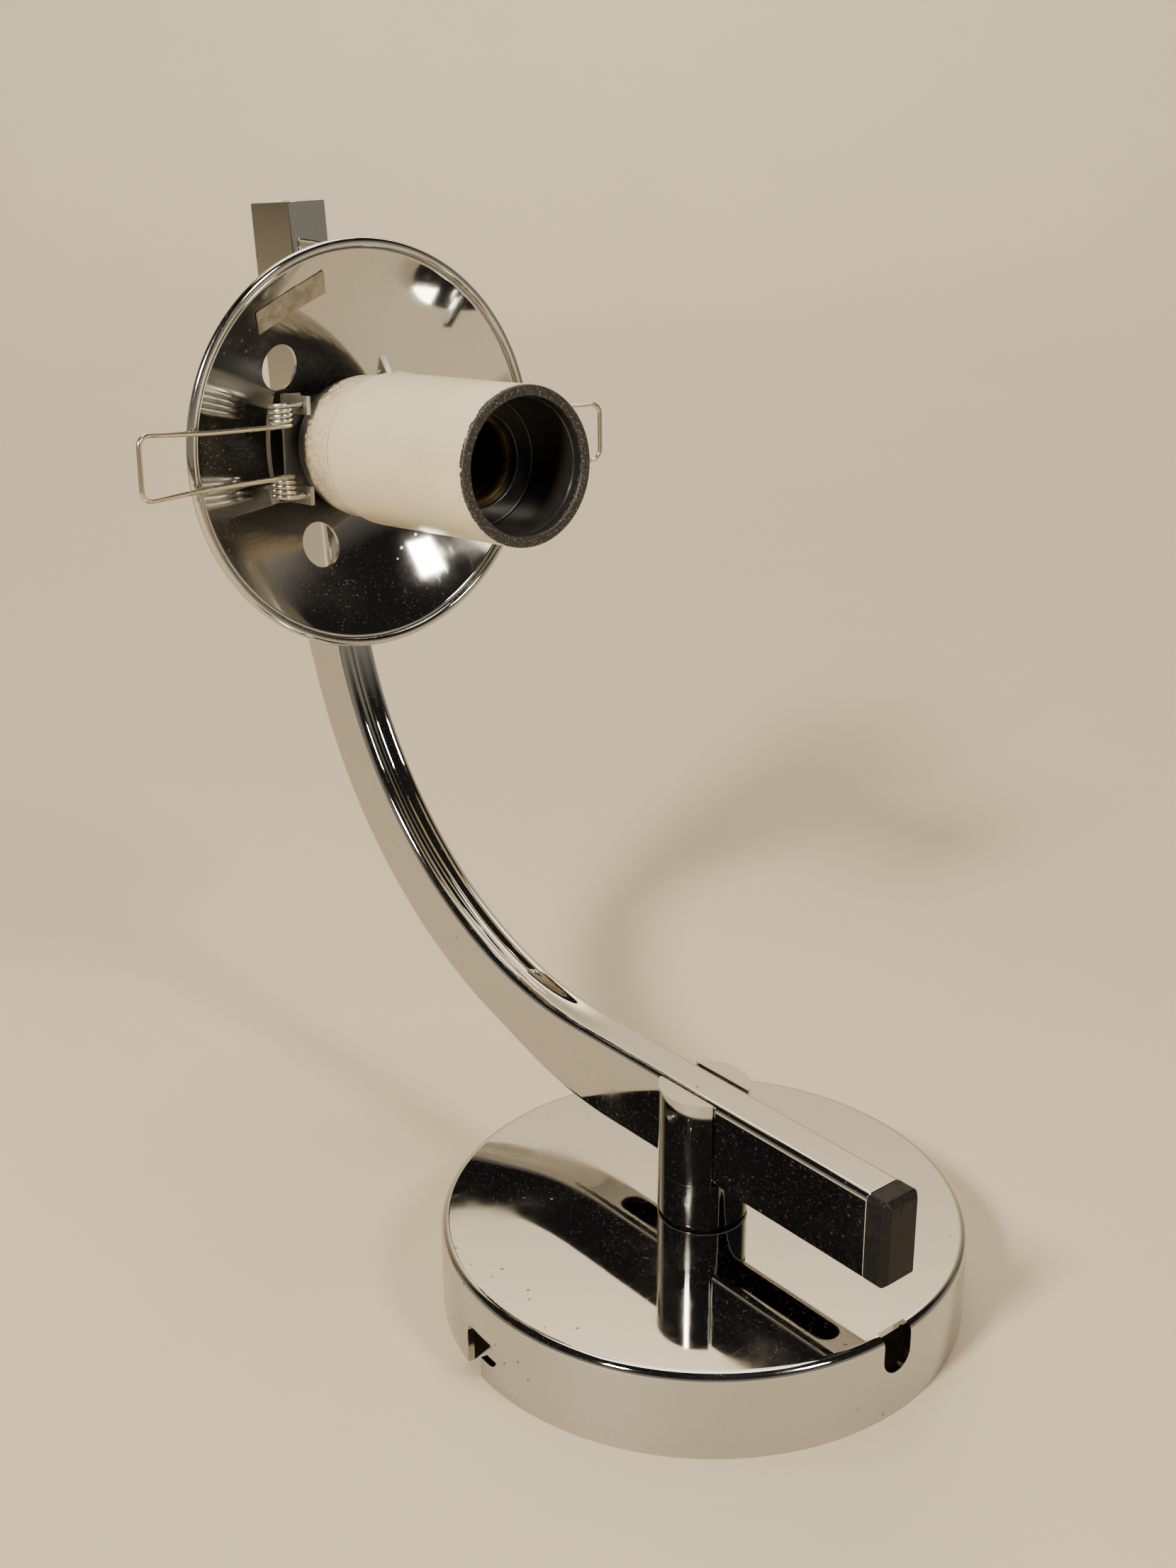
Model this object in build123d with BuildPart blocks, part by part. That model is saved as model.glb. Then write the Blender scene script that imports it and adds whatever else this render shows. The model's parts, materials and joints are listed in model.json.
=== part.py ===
"""Adjustable wall and table lamp: round canopy, slotted post, bent rectangular
arm, concave reflector dish, small screw lampholder and two sprung wire clips
for a glass shade.

Millimetres, +Z up. The origin is the centre of the canopy's open face, on the
surface that the lamp stands on. The arm lies in the XZ plane with its straight
tail towards +X and the lampholder's mouth also facing +X.
"""
from build123d import *
import math
import os

# ---- driving dimensions -------------------------------------------------------
canopy_radius = 46.5
canopy_height = 16.0
sheet = 1.2                      # canopy wall and top

post_radius = 8.0
post_solid = 8.5                 # post below the slot
slot_width = 8.1
slide_gap = 0.05                 # running clearance between arm and slot

tube_width = 8.0
tube_depth = 16.0
tube_wall = 1.0
tube_edge = 1.0                  # outer corner radius
tail_length = 41.6               # post axis to the open end of the tail
bend_start = 30.0                # post axis to the start of the bend
bend_radius = 86.0               # centreline
bend_angle = 85.5
top_length = 69.0                # straight stretch above the bend
head_rise = 23.5                 # end of the bend to the lampholder axis

dish_radius = 38.6
dish_sheet = 0.8
dish_rim = 13.5                  # tube face to the plane of the rim
dish_bead = 0.9                  # radius of the rolled edge
vent_radius = 4.3
vent_circle = 20.2
vent_start = 8.5

holder_radius = 14.2
holder_mouth = 63.0              # tube face to the lampholder's mouth
holder_seam = 20.0               # tube face to the seam between cap and skirt
shell_bore = 6.95                # lamp thread, 14 mm screw cap

wire = 0.475                     # radius of the spring wire
coil_reach = 16.7                # head axis to the coil axis
coil_rise = 9.3                  # tube face to the coil axis
coil_radius = 2.0                # to the middle of the wire
clip_reach = 51.4                # head axis to the end of the loop
clip_rise = 20.4
clip_half = 5.7                  # half the width of the loop at its end
leg_half = 4.9                   # half the distance between the legs at the coils
clip_turn = -3.6                 # the pair of clips stands slightly turned

core = 1.0                       # radius of an insulated conductor
core_side = 1.2                  # sideways place of each conductor
grub_radius = 1.7
nipple_radius = 5.0
fit = 0.05                       # radial clearance of pieces that stay put

# ---- derived places -----------------------------------------------------------
foot_washer_height = 0.5
post_foot = canopy_height + foot_washer_height
slot_floor = post_foot + post_solid
tube_low = slot_floor + slide_gap
tube_mid = tube_low + tube_depth / 2
post_top = tube_low + tube_depth
lean = 90.0 - bend_angle
sin_lean = math.sin(math.radians(lean))
cos_lean = math.cos(math.radians(lean))
bend_centre_z = tube_mid + bend_radius
inner_bend = bend_radius - tube_depth / 2

bend_end = Vector(-bend_start - bend_radius * cos_lean, 0, bend_centre_z - bend_radius * sin_lean)
inner_end = Vector(-bend_start - inner_bend * cos_lean, 0, bend_centre_z - inner_bend * sin_lean)
tube_up = Vector(-sin_lean, 0, cos_lean)
head_dir = Vector(cos_lean, 0, sin_lean)
head = inner_end + tube_up * head_rise


def head_plane(angle):
    """Plane across the head axis with its x direction turned from +Y towards the tube's top."""
    turn = math.radians(angle)
    return Plane(origin=head, x_dir=Vector(0, math.cos(turn), 0) + tube_up * math.sin(turn), z_dir=head_dir)


# head_face looks along the lampholder axis, and head_cut holds the axis so that
# a half profile drawn in (distance from the tube, radius) can be revolved.
head_face = head_plane(0)
head_cut = Plane(origin=head, x_dir=head_dir, z_dir=(0, -1, 0))
head_axis = Axis(head, head_dir)


def on_head(side, up, along):
    """Point in the head's own directions: +Y side, up the tube, out of the dish."""
    return head + Vector(0, side, 0) + tube_up * up + head_dir * along


def save(part, name):
    """Label a finished piece and write it as a STEP file of its own."""
    part.label = name
    export_step(part, f"parts/{name}.step")


def revolved_ring(outer, inner, low, high):
    """Ring about Z between two heights."""
    with BuildPart() as ring:
        with BuildSketch(Plane.XY.offset(low)):
            Circle(outer)
            Circle(inner, mode=Mode.SUBTRACT)
        extrude(amount=high - low)
    return ring.part


def head_ring(outer, inner, low, high):
    """Ring about the lampholder axis between two distances from the tube."""
    with BuildPart() as ring:
        with BuildSketch(head_face.offset(low)):
            Circle(outer)
            Circle(inner, mode=Mode.SUBTRACT)
        extrude(amount=high - low)
    return ring.part


def nut(plane, across_flats, inner, thickness):
    """Hexagon nut standing on a plane, with its outer corners turned down."""
    corner = across_flats / math.sqrt(3)
    with BuildPart() as hexagon:
        with BuildSketch(plane):
            RegularPolygon(corner, 6)
            Circle(inner, mode=Mode.SUBTRACT)
        extrude(amount=thickness)
        with BuildSketch(plane):
            Circle(corner - 0.25)
        extrude(amount=thickness, mode=Mode.INTERSECT)
    return hexagon.part


def toothed_washer(plane, outer, inner, thickness, teeth=10):
    """Washer with notches cut in from its rim."""
    with BuildPart() as washer:
        with BuildSketch(plane):
            Circle(outer)
            Circle(inner, mode=Mode.SUBTRACT)
            with PolarLocations(outer, teeth):
                Rectangle(1.6, 1.0, mode=Mode.SUBTRACT)
        extrude(amount=thickness)
    return washer.part


def conductor(points, radii):
    """Insulated conductor along straight runs joined by arcs."""
    with BuildPart() as lead:
        with BuildLine() as route:
            FilletPolyline(*points, radius=radii)
        start = route.line @ 0
        with BuildSketch(Plane(origin=start, z_dir=route.line % 0)):
            Circle(core)
        sweep()
    return lead.part


def slotted_screw(plane, head_radius, head_height, shank_radius, shank_length):
    """Cheese-head screw: the head stands on the plane, the shank goes through it."""
    with BuildPart() as screw:
        with BuildSketch(plane):
            Circle(head_radius)
        extrude(amount=head_height)
        with BuildSketch(plane):
            Circle(shank_radius)
        extrude(amount=-shank_length)
        with BuildSketch(plane.offset(head_height)):
            Rectangle(2 * head_radius, 0.8)
        extrude(amount=-0.45 * head_height, mode=Mode.SUBTRACT)
    return screw.part


os.makedirs("parts", exist_ok=True)

# ---- canopy --------------------------------------------------------------------
bayonet_angle = -95.2            # middle of the first bayonet slot
bayonet_width = 4.4
bayonet_height = 6.2
bayonet_travel = 4.8
cable_hole_width = 6.2
cable_hole_low = 8.4
cable_hole_inset = 2.0           # how far the cable hole reaches in over the top

with BuildPart() as canopy:
    with BuildSketch():
        Circle(canopy_radius)
    extrude(amount=canopy_height)
    fillet(canopy.faces().sort_by(Axis.Z)[-1].edges(), radius=1.6)
    offset(amount=-sheet, openings=canopy.faces().sort_by(Axis.Z)[0])
    with BuildSketch(Plane.XY.offset(canopy_height + 1)):
        Circle(nipple_radius + 0.08)
    extrude(amount=-4, mode=Mode.SUBTRACT)
    for turn in (bayonet_angle, bayonet_angle + 180):
        outward = Plane.XY.rotated((0, 0, turn))
        tangent = Plane(
            origin=outward.from_local_coords(Vector(canopy_radius - 4, 0, 0)),
            x_dir=outward.y_dir,
            z_dir=outward.x_dir,
        )
        with BuildSketch(tangent):
            with Locations((0, bayonet_height)):
                SlotCenterToCenter(bayonet_travel, bayonet_width)
            with Locations((-bayonet_travel / 2, bayonet_height / 2 - 1)):
                Rectangle(bayonet_width, bayonet_height + 2)
        extrude(amount=6, mode=Mode.SUBTRACT)
    with BuildSketch(Plane.YZ.offset(canopy_radius - cable_hole_inset)):
        with Locations((0, cable_hole_low + cable_hole_width / 2)):
            Circle(cable_hole_width / 2)
        with Locations((0, cable_hole_low + cable_hole_width / 2 + 5)):
            Rectangle(cable_hole_width, 10)
    extrude(amount=6, mode=Mode.SUBTRACT)
save(canopy.part, "canopy")

# ---- wiring inside the canopy ----------------------------------------------------
canopy_under = canopy_height - sheet
bracket_thickness = 1.0
block_x = 24.0
block_length = 16.0
block_width = 24.0
block_top = canopy_under - bracket_thickness
block_height = 10.0
pole_pitch = 8.0
barrel_radius = 2.5
barrel_z = 8.0
poles = [(block_x, side * pole_pitch) for side in (-1, 0, 1)]
earth_y = 19.5

with BuildPart() as block_bracket:
    with BuildSketch(Plane.XY.offset(block_top)):
        with Locations((block_x, 4)):
            RectangleRounded(11, 40, 2)
        with Locations((block_x, 4)):
            Circle(1.55, mode=Mode.SUBTRACT)
        with Locations((block_x, earth_y)):
            Circle(2.05, mode=Mode.SUBTRACT)
    extrude(amount=bracket_thickness)
save(block_bracket.part, "block_bracket")

with BuildPart() as terminal_block:
    with BuildSketch(Plane.XY.offset(block_top - block_height)):
        with Locations((block_x, 0)):
            RectangleRounded(block_length, block_width, 1.0)
    extrude(amount=block_height)
    with BuildSketch(Plane.YZ.offset(block_x - block_length)):
        with Locations(*[(y, barrel_z) for _, y in poles]):
            Circle(barrel_radius + fit)
    extrude(amount=2 * block_length, mode=Mode.SUBTRACT)
    with BuildSketch(Plane.XY.offset(block_top - block_height)):
        with Locations(*[(x + dx, y) for x, y in poles for dx in (-4.5, 4.5)]):
            Circle(1.9)
    extrude(amount=barrel_z - block_top + block_height, mode=Mode.SUBTRACT)
    with BuildSketch(Plane.XY.offset(block_top - block_height)):
        with Locations((block_x, 4), (block_x, -4)):
            Circle(1.3)
    extrude(amount=block_height, mode=Mode.SUBTRACT)
    with BuildSketch(Plane.XY.offset(block_top - block_height)):
        with Locations((block_x, 4), (block_x, -4)):
            Rectangle(block_length, 0.8)
            Circle(1.95)
    extrude(amount=2.0, mode=Mode.SUBTRACT)
save(terminal_block.part, "terminal_block")

with BuildPart() as terminal_barrels:
    with BuildSketch(Plane.YZ.offset(block_x - 7.0)):
        with Locations(*[(y, barrel_z) for _, y in poles]):
            Circle(barrel_radius)
            Circle(core + 0.15, mode=Mode.SUBTRACT)
    extrude(amount=14.0)
    with BuildSketch(Plane.XY.offset(barrel_z - 5)):
        with Locations(*[(x + dx, y) for x, y in poles for dx in (-4.5, 4.5)]):
            Circle(1.3)
    extrude(amount=5, mode=Mode.SUBTRACT)
save(terminal_barrels.part, "terminal_barrels")

with BuildPart() as terminal_screws:
    with BuildSketch(Plane.XY.offset(barrel_z - 4.0)):
        with Locations(*[(x + dx, y) for x, y in poles for dx in (-4.5, 4.5)]):
            Circle(1.25)
    extrude(amount=2.6)
    with BuildSketch(Plane.XY.offset(barrel_z - 4.0)):
        with Locations(*[(x + dx, y) for x, y in poles for dx in (-4.5, 4.5)]):
            Rectangle(3, 0.5)
    extrude(amount=0.7, mode=Mode.SUBTRACT)
save(terminal_screws.part, "terminal_screws")

block_seat = Plane(origin=(block_x, 4, block_top - block_height + 2.0), x_dir=(1, 0, 0), z_dir=(0, 0, -1))
save(slotted_screw(block_seat, 1.9, 1.4, 1.25, 8.8), "block_screw")

earth_seat = Plane(origin=(block_x, earth_y, block_top - 0.8), x_dir=(1, 0, 0), z_dir=(0, 0, -1))
save(slotted_screw(earth_seat, 3.5, 2.4, 2.0, 1.75), "earth_screw")

with BuildPart() as earth_tag:
    with BuildSketch(Plane.XY.offset(block_top - 0.8)):
        with Locations((block_x, earth_y)):
            Circle(3.8)
        with Locations((block_x - 5, earth_y)):
            Rectangle(6, 3.0)
        with Locations((block_x, earth_y)):
            Circle(2.05, mode=Mode.SUBTRACT)
    extrude(amount=0.8)
    with BuildSketch(Plane.YZ.offset(block_x - 12)):
        with Locations((earth_y, block_top - 1.3)):
            Circle(1.3)
            Circle(core + 0.02, mode=Mode.SUBTRACT)
    extrude(amount=4.5)
save(earth_tag.part, "earth_tag")

# ---- post and the fastening that lets it turn on the canopy -----------------------
nipple_low = 9.5
nipple_high = post_foot + 6.0

with BuildPart() as post:
    with BuildSketch(Plane.XY.offset(post_foot)):
        Circle(post_radius)
    extrude(amount=post_top - post_foot)
    with BuildSketch(Plane.XY.offset(slot_floor)):
        Rectangle(3 * post_radius, slot_width)
    extrude(amount=tube_depth + 1, mode=Mode.SUBTRACT)
    top_arcs = post.edges().filter_by(GeomType.CIRCLE).group_by(Axis.Z)[-1]
    chamfer(top_arcs, length=0.3)
    with BuildSketch(Plane.XY.offset(post_foot)):
        Circle(nipple_radius + fit)
    extrude(amount=nipple_high - post_foot + 0.5, mode=Mode.SUBTRACT)
    with BuildSketch(Plane.XY.offset(post_foot)):
        Circle(3.0)
    extrude(amount=post_solid + 1, mode=Mode.SUBTRACT)
    with BuildSketch(Plane.XZ.offset(0)):
        with Locations((0, post_top - 3.0)):
            Circle(grub_radius + fit)
    extrude(amount=post_radius + 1, mode=Mode.SUBTRACT)
save(post.part, "post")

save(revolved_ring(7.4, nipple_radius + fit, canopy_height, post_foot), "foot_washer")
save(revolved_ring(nipple_radius, 3.4, nipple_low, nipple_high), "post_nipple")
save(revolved_ring(9.0, nipple_radius + fit, canopy_under - 1.2, canopy_under), "friction_washer")
save(nut(Plane.XY.offset(canopy_under - 4.4), 14.0, nipple_radius + fit, 3.2), "post_nut")

with BuildPart() as grub_screw:
    with BuildSketch(Plane.XZ.offset(slot_width / 2)):
        with Locations((0, post_top - 3.0)):
            Circle(grub_radius)
    extrude(amount=2.8)
    with BuildSketch(Plane.XZ.offset(slot_width / 2 + 2.8)):
        with Locations((0, post_top - 3.0)):
            Rectangle(2 * grub_radius, 0.55)
    extrude(amount=-1.0, mode=Mode.SUBTRACT)
save(grub_screw.part, "grub_screw")

# ---- arm tube ----------------------------------------------------------------------
wire_slot_out = 33.0
wire_slot_in = -21.0
tail_end = Vector(tail_length, 0, tube_mid)
section_plane = Plane(origin=tail_end, x_dir=(0, 1, 0), z_dir=(-1, 0, 0))

with BuildPart() as arm_tube:
    with BuildLine(Plane.XZ):
        tail = Line((tail_length, tube_mid), (-bend_start, tube_mid))
        bend = JernArc(tail @ 1, (-1, 0), bend_radius, -bend_angle)
        PolarLine(bend @ 1, top_length, direction=(-sin_lean, cos_lean))
    with BuildSketch(section_plane):
        RectangleRounded(tube_width, tube_depth, tube_edge)
        RectangleRounded(tube_width - 2 * tube_wall, tube_depth - 2 * tube_wall, 0.4, mode=Mode.SUBTRACT)
    sweep()
    with BuildSketch(Plane.XY.offset(tube_low - 1)):
        with Locations(((wire_slot_out + wire_slot_in) / 2, 0)):
            SlotOverall(wire_slot_out - wire_slot_in, 5.0)
    extrude(amount=1 + tube_wall + 0.5, mode=Mode.SUBTRACT)
    with BuildSketch(head_face.offset(0.5)):
        Circle(2.5)
    extrude(amount=-4, mode=Mode.SUBTRACT)
save(arm_tube.part, "arm_tube")

plug_width = tube_width - 2 * tube_wall - 2 * fit
plug_depth = tube_depth - 2 * tube_wall - 2 * fit
cap_length = 4.4

with BuildPart() as tail_cap:
    with BuildSketch(Plane.YZ.offset(tail_length)):
        with Locations((0, tube_mid)):
            RectangleRounded(tube_width, tube_depth, tube_edge)
    extrude(amount=cap_length)
    chamfer(tail_cap.faces().sort_by(Axis.X)[-1].edges(), length=1.0)
    with BuildSketch(Plane.YZ.offset(tail_length)):
        with Locations((0, tube_mid)):
            RectangleRounded(plug_width, plug_depth, 0.4)
    extrude(amount=-7)
save(tail_cap.part, "tail_cap")

tube_top = bend_end + tube_up * top_length
top_plane = Plane(origin=tube_top, x_dir=(0, 1, 0), z_dir=tube_up)

with BuildPart() as top_plug:
    with BuildSketch(top_plane.offset(-0.25)):
        RectangleRounded(plug_width, plug_depth, 0.4)
    extrude(amount=-6)
save(top_plug.part, "top_plug")

# ---- reflector dish and what clamps it ----------------------------------------------
dish_low = 0.5
nut_low = dish_low + dish_sheet
nut_height = 2.5
plate_low = nut_low + nut_height
plate = 0.8
washer_low = plate_low + plate
cap_low = washer_low + 0.6
nipple_length = 11.0

save(head_ring(nipple_radius, 2.5, 0, nipple_length), "head_nipple")
save(head_ring(9.0, nipple_radius + fit, 0, dish_low), "dish_washer")

# The bowl is part of a sphere between a flat seat round the nipple and the rolled rim.
seat_radius = 9.0
bowl_edge = dish_radius - 2 * dish_bead + 0.3
bowl_depth = dish_rim - nut_low
rim_to_centre = (bowl_edge ** 2 - seat_radius ** 2 - bowl_depth ** 2) / (2 * bowl_depth)
bowl_centre = dish_rim + rim_to_centre
bowl_radius = math.hypot(rim_to_centre, bowl_edge)
outer_bowl = bowl_radius + dish_sheet
outer_seat = math.sqrt(outer_bowl ** 2 - (bowl_centre - dish_low) ** 2)


def bowl_point(sphere, radius):
    """Point of the bowl's half profile on a sphere about the bowl's centre."""
    return (bowl_centre - math.sqrt(sphere ** 2 - radius ** 2), radius)


bore = nipple_radius + 0.1
with BuildPart() as dish:
    with BuildSketch(head_cut):
        with BuildLine():
            face = ThreePointArc(
                (nut_low, seat_radius), bowl_point(bowl_radius, 25), bowl_point(bowl_radius, bowl_edge)
            )
            back = ThreePointArc(
                (dish_low, outer_seat), bowl_point(outer_bowl, 25), bowl_point(outer_bowl, bowl_edge)
            )
            Polyline(face @ 0, (nut_low, bore), (dish_low, bore), back @ 0)
            Line(face @ 1, back @ 1)
        make_face()
    revolve(axis=head_axis)
    with BuildSketch(head_cut):
        with Locations((dish_rim - dish_bead / 2, dish_radius - dish_bead)):
            Circle(dish_bead)
    revolve(axis=head_axis)
    with BuildSketch(head_face.offset(-1)):
        with PolarLocations(vent_circle, 3, start_angle=vent_start):
            Circle(vent_radius)
    extrude(amount=8, mode=Mode.SUBTRACT)
save(dish.part, "dish")

save(nut(head_face.offset(nut_low + 0.25), 14.0, nipple_radius + fit, nut_height - 0.25), "dish_nut")

# ---- clip bracket --------------------------------------------------------------------
ear_low = coil_reach - coil_radius - 2.1
ear_high = ear_low + plate
ear_half = 8.4
ear_top = 13.2
tail_along = coil_rise + coil_radius
clip_plane = head_plane(clip_turn)

with BuildPart() as clip_bracket:
    with BuildSketch(clip_plane.offset(plate_low)):
        Rectangle(2 * ear_high, 15.0)
        for side in (-1, 1):
            with Locations((side * (ear_high - 2.0), 0)):
                Rectangle(4.0, 2 * ear_half + 3.4)
        Circle(nipple_radius + fit, mode=Mode.SUBTRACT)
    extrude(amount=plate)
    with BuildSketch(clip_plane.offset(plate_low)):
        for side in (-1, 1):
            for up in (-1, 1):
                with Locations((side * (ear_low + ear_high) / 2, up * ear_half)):
                    Rectangle(plate, 3.4)
    extrude(amount=ear_top - plate_low)
    cross = Plane(origin=clip_plane.origin, x_dir=clip_plane.y_dir, z_dir=clip_plane.x_dir)
    with BuildSketch(cross.offset(-20)):
        with Locations((ear_half, tail_along), (-ear_half, tail_along)):
            Circle(wire + 0.15)
    extrude(amount=40, mode=Mode.SUBTRACT)
save(clip_bracket.part, "clip_bracket")

save(toothed_washer(head_face.offset(washer_low), 8.0, nipple_radius + fit, 0.6), "lock_washer")

# ---- sprung wire clips -----------------------------------------------------------------
leg_start = (coil_reach, coil_rise + coil_radius)
clip_corner = 2.0
coil_inner = leg_half - wire
coil_outer = ear_half - wire - 0.1


def clip_frame(side):
    """Plane of a clip: x out from the head axis, y across the clip, z out of the dish."""
    return Plane(origin=head, x_dir=clip_plane.x_dir * side, z_dir=head_dir)


def clip_loop(side):
    """Loop with its two coils, which turns about the coils' axis."""
    frame = clip_frame(side)
    spot = frame.from_local_coords
    legs = [
        Vector(leg_start[0], -leg_half, leg_start[1]),
        Vector(clip_reach, -clip_half, clip_rise),
        Vector(clip_reach, clip_half, clip_rise),
        Vector(leg_start[0], leg_half, leg_start[1]),
    ]
    coil_plane = Plane(origin=spot(Vector(coil_reach, 0, coil_rise)), x_dir=frame.x_dir, z_dir=frame.y_dir)
    with BuildPart() as loop:
        with BuildLine() as route:
            FilletPolyline(*[spot(point) for point in legs], radius=clip_corner)
        with BuildSketch(Plane(origin=route.line @ 0, z_dir=route.line % 0)):
            Circle(wire)
        sweep()
        for start, end in ((coil_inner, coil_outer), (-coil_outer, -coil_inner)):
            with BuildSketch(coil_plane.offset(start)):
                Circle(coil_radius + wire)
                Circle(coil_radius - wire, mode=Mode.SUBTRACT)
            extrude(amount=end - start)
    return loop.part


def clip_tails(side):
    """The last turn of each coil and its straight end, held in the bracket's ears."""
    frame = clip_frame(side)
    spot = frame.from_local_coords
    coil_plane = Plane(origin=spot(Vector(coil_reach, 0, coil_rise)), x_dir=frame.x_dir, z_dir=frame.y_dir)
    with BuildPart() as tails:
        for up in (-1, 1):
            with BuildSketch(coil_plane.offset(up * ear_half - wire)):
                Circle(coil_radius + wire)
                Circle(coil_radius - wire, mode=Mode.SUBTRACT)
            extrude(amount=2 * wire)
            end = spot(Vector(coil_reach, up * ear_half, tail_along))
            with BuildSketch(Plane(origin=end, x_dir=frame.y_dir, z_dir=frame.x_dir * -1)):
                Circle(wire)
            extrude(amount=coil_reach - ear_low + 0.3)
    return tails.part


for name, side in (("right", 1), ("left", -1)):
    save(clip_loop(side), f"clip_{name}")
    save(clip_tails(side), f"clip_tails_{name}")

# ---- lampholder ----------------------------------------------------------------------------
cap_back = 9.6                   # radius of the flat back of the cap
cap_full = 14.0                  # distance at which the cap reaches its full radius
cap_inner = 11.9
cap_floor = cap_low + 5.0
spigot = 12.6
spigot_bore = 11.2
spigot_end = holder_seam + 5.0
mouth_radius = 13.95
mouth_bore = 11.9
shelf_high = holder_mouth - 14.0
shelf_low = shelf_high - 2.0
shelf_bore = 8.2
insert_low = holder_seam - 1.0
insert_step = spigot_end + 0.1
insert_high = insert_step + 1.4

with BuildPart() as holder_cap:
    with BuildSketch(head_cut):
        with BuildLine():
            Line((cap_low, bore), (cap_low, cap_back))
            EllipticalCenterArc(
                (cap_full, cap_back), cap_full - cap_low, holder_radius - cap_back, 90, arc_size=90
            )
            Polyline(
                (cap_full, holder_radius), (holder_seam, holder_radius), (holder_seam, spigot),
                (spigot_end, spigot), (spigot_end, spigot_bore), (holder_seam - 2, cap_inner),
                (cap_floor + 3, cap_inner), (cap_floor, cap_inner - 3), (cap_floor, bore),
                (cap_low, bore),
            )
        make_face()
    revolve(axis=head_axis)
save(holder_cap.part, "holder_cap")

with BuildPart() as holder_skirt:
    with BuildSketch(head_cut):
        with BuildLine():
            Polyline(
                (holder_seam + 0.05, spigot + fit), (holder_seam + 0.05, holder_radius),
                (holder_mouth - 0.5, mouth_radius), (holder_mouth, mouth_radius - 0.4),
                (holder_mouth, mouth_bore + 0.5), (holder_mouth - 0.6, mouth_bore + 0.1),
                (shelf_high, mouth_bore - 0.2), (shelf_high, shelf_bore), (shelf_low, shelf_bore),
                (shelf_low, mouth_bore - 0.4), (insert_high + 0.05, mouth_bore - 0.4),
                (insert_high + 0.05, spigot + fit), (holder_seam + 0.05, spigot + fit),
            )
        make_face()
    revolve(axis=head_axis)
save(holder_skirt.part, "holder_skirt")

shell_seat = insert_high + 4.3     # top of the collar that carries the thread shell
contact_side = 6.8                 # sideways place of each contact screw
shell_outer = shell_bore + 0.45

with BuildPart() as holder_insert:
    with BuildSketch(head_face.offset(insert_low)):
        Circle(spigot_bore - fit)
    extrude(amount=insert_step - insert_low)
    with BuildSketch(head_face.offset(insert_step)):
        Circle(spigot - 0.1)
    extrude(amount=insert_high - insert_step)
    with BuildSketch(head_face.offset(insert_high)):
        Circle(8.6)
        Circle(shell_outer + 0.2, mode=Mode.SUBTRACT)
        with Locations((-8.4, 0)):
            Rectangle(3.0, 4.3, mode=Mode.SUBTRACT)
    extrude(amount=shell_seat - insert_high)
    with BuildSketch(head_face.offset(insert_low)):
        with Locations((contact_side, 0), (-contact_side, 0)):
            Circle(1.5 + fit)
    extrude(amount=insert_high - insert_low, mode=Mode.SUBTRACT)
save(holder_insert.part, "holder_insert")

with BuildPart() as thread_shell:
    with BuildSketch(head_face.offset(shell_seat)):
        Circle(shell_outer)
        Circle(shell_bore, mode=Mode.SUBTRACT)
    extrude(amount=shelf_low - shell_seat)
    with BuildSketch(head_face.offset(shell_seat)):
        Circle(shell_outer + 0.9)
        Circle(shell_bore, mode=Mode.SUBTRACT)
        with Locations((-9.0, 0)):
            Rectangle(3.2, 4.3, mode=Mode.SUBTRACT)
    extrude(amount=0.5)
    with BuildSketch(head_face.offset(shelf_low - 0.8)):
        Circle(10.4)
        Circle(shell_bore, mode=Mode.SUBTRACT)
    extrude(amount=0.8)
save(thread_shell.part, "thread_shell")

# Contacts are bent brass strips, drawn from the side and given their width.
side_plane = Plane(origin=head, x_dir=head_dir, z_dir=tube_up)
strip = 0.5
with BuildPart() as centre_contact:
    with BuildSketch(side_plane.offset(-2.0)):
        with BuildLine():
            Polyline(
                (insert_high + fit, 4.2), (insert_high + fit + strip, 4.2), (insert_high + 3.6, -0.4),
                (insert_high + 3.6, -2.2), (insert_high + 3.0, -3.0), (insert_high + 3.0, -0.8),
                (insert_high + fit, 3.4), (insert_high + fit, 4.2),
            )
        make_face()
    extrude(amount=4.0)
save(centre_contact.part, "centre_contact")

with BuildPart() as shell_contact:
    with BuildSketch(head_face.offset(insert_high + fit)):
        with Locations((-8.9, 0)):
            Rectangle(2.8, 4.0)
    extrude(amount=strip)
    with BuildSketch(head_face.offset(insert_high + fit)):
        with Locations((-7.75, 0)):
            Rectangle(strip, 4.0)
    extrude(amount=7.0)
save(shell_contact.part, "shell_contact")

with BuildPart() as contact_screws:
    for side in (-contact_side, contact_side):
        seat = Plane(origin=on_head(side, 0, insert_low), x_dir=(0, 1, 0), z_dir=head_dir * -1)
        with BuildSketch(seat):
            Circle(2.4)
        extrude(amount=1.8)
        with BuildSketch(seat):
            Circle(1.5)
        extrude(amount=-5.0)
        with BuildSketch(seat.offset(1.8)):
            Rectangle(5, 0.7)
        extrude(amount=-0.8, mode=Mode.SUBTRACT)
save(contact_screws.part, "contact_screws")

# ---- blank data label stuck inside the dish ----------------------------------------------
label_middle = 30.1
label_height = 4.4
label_arc = 30.0
label_angle = 113.0 - label_arc / 2
label_cut = Plane(origin=head, x_dir=head_dir, z_dir=head_plane(label_angle).y_dir)
label_skin = bowl_radius - 0.03
label_top = label_skin - 0.15
label_reach = (label_middle - label_height / 2, label_middle, label_middle + label_height / 2)

with BuildPart() as data_label:
    with BuildSketch(label_cut):
        with BuildLine():
            under = ThreePointArc(*[bowl_point(label_skin, reach) for reach in label_reach])
            over = ThreePointArc(*[bowl_point(label_top, reach) for reach in label_reach])
            Line(under @ 0, over @ 0)
            Line(under @ 1, over @ 1)
        make_face()
    revolve(axis=head_axis, revolution_arc=label_arc)
save(data_label.part, "data_label")

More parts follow.
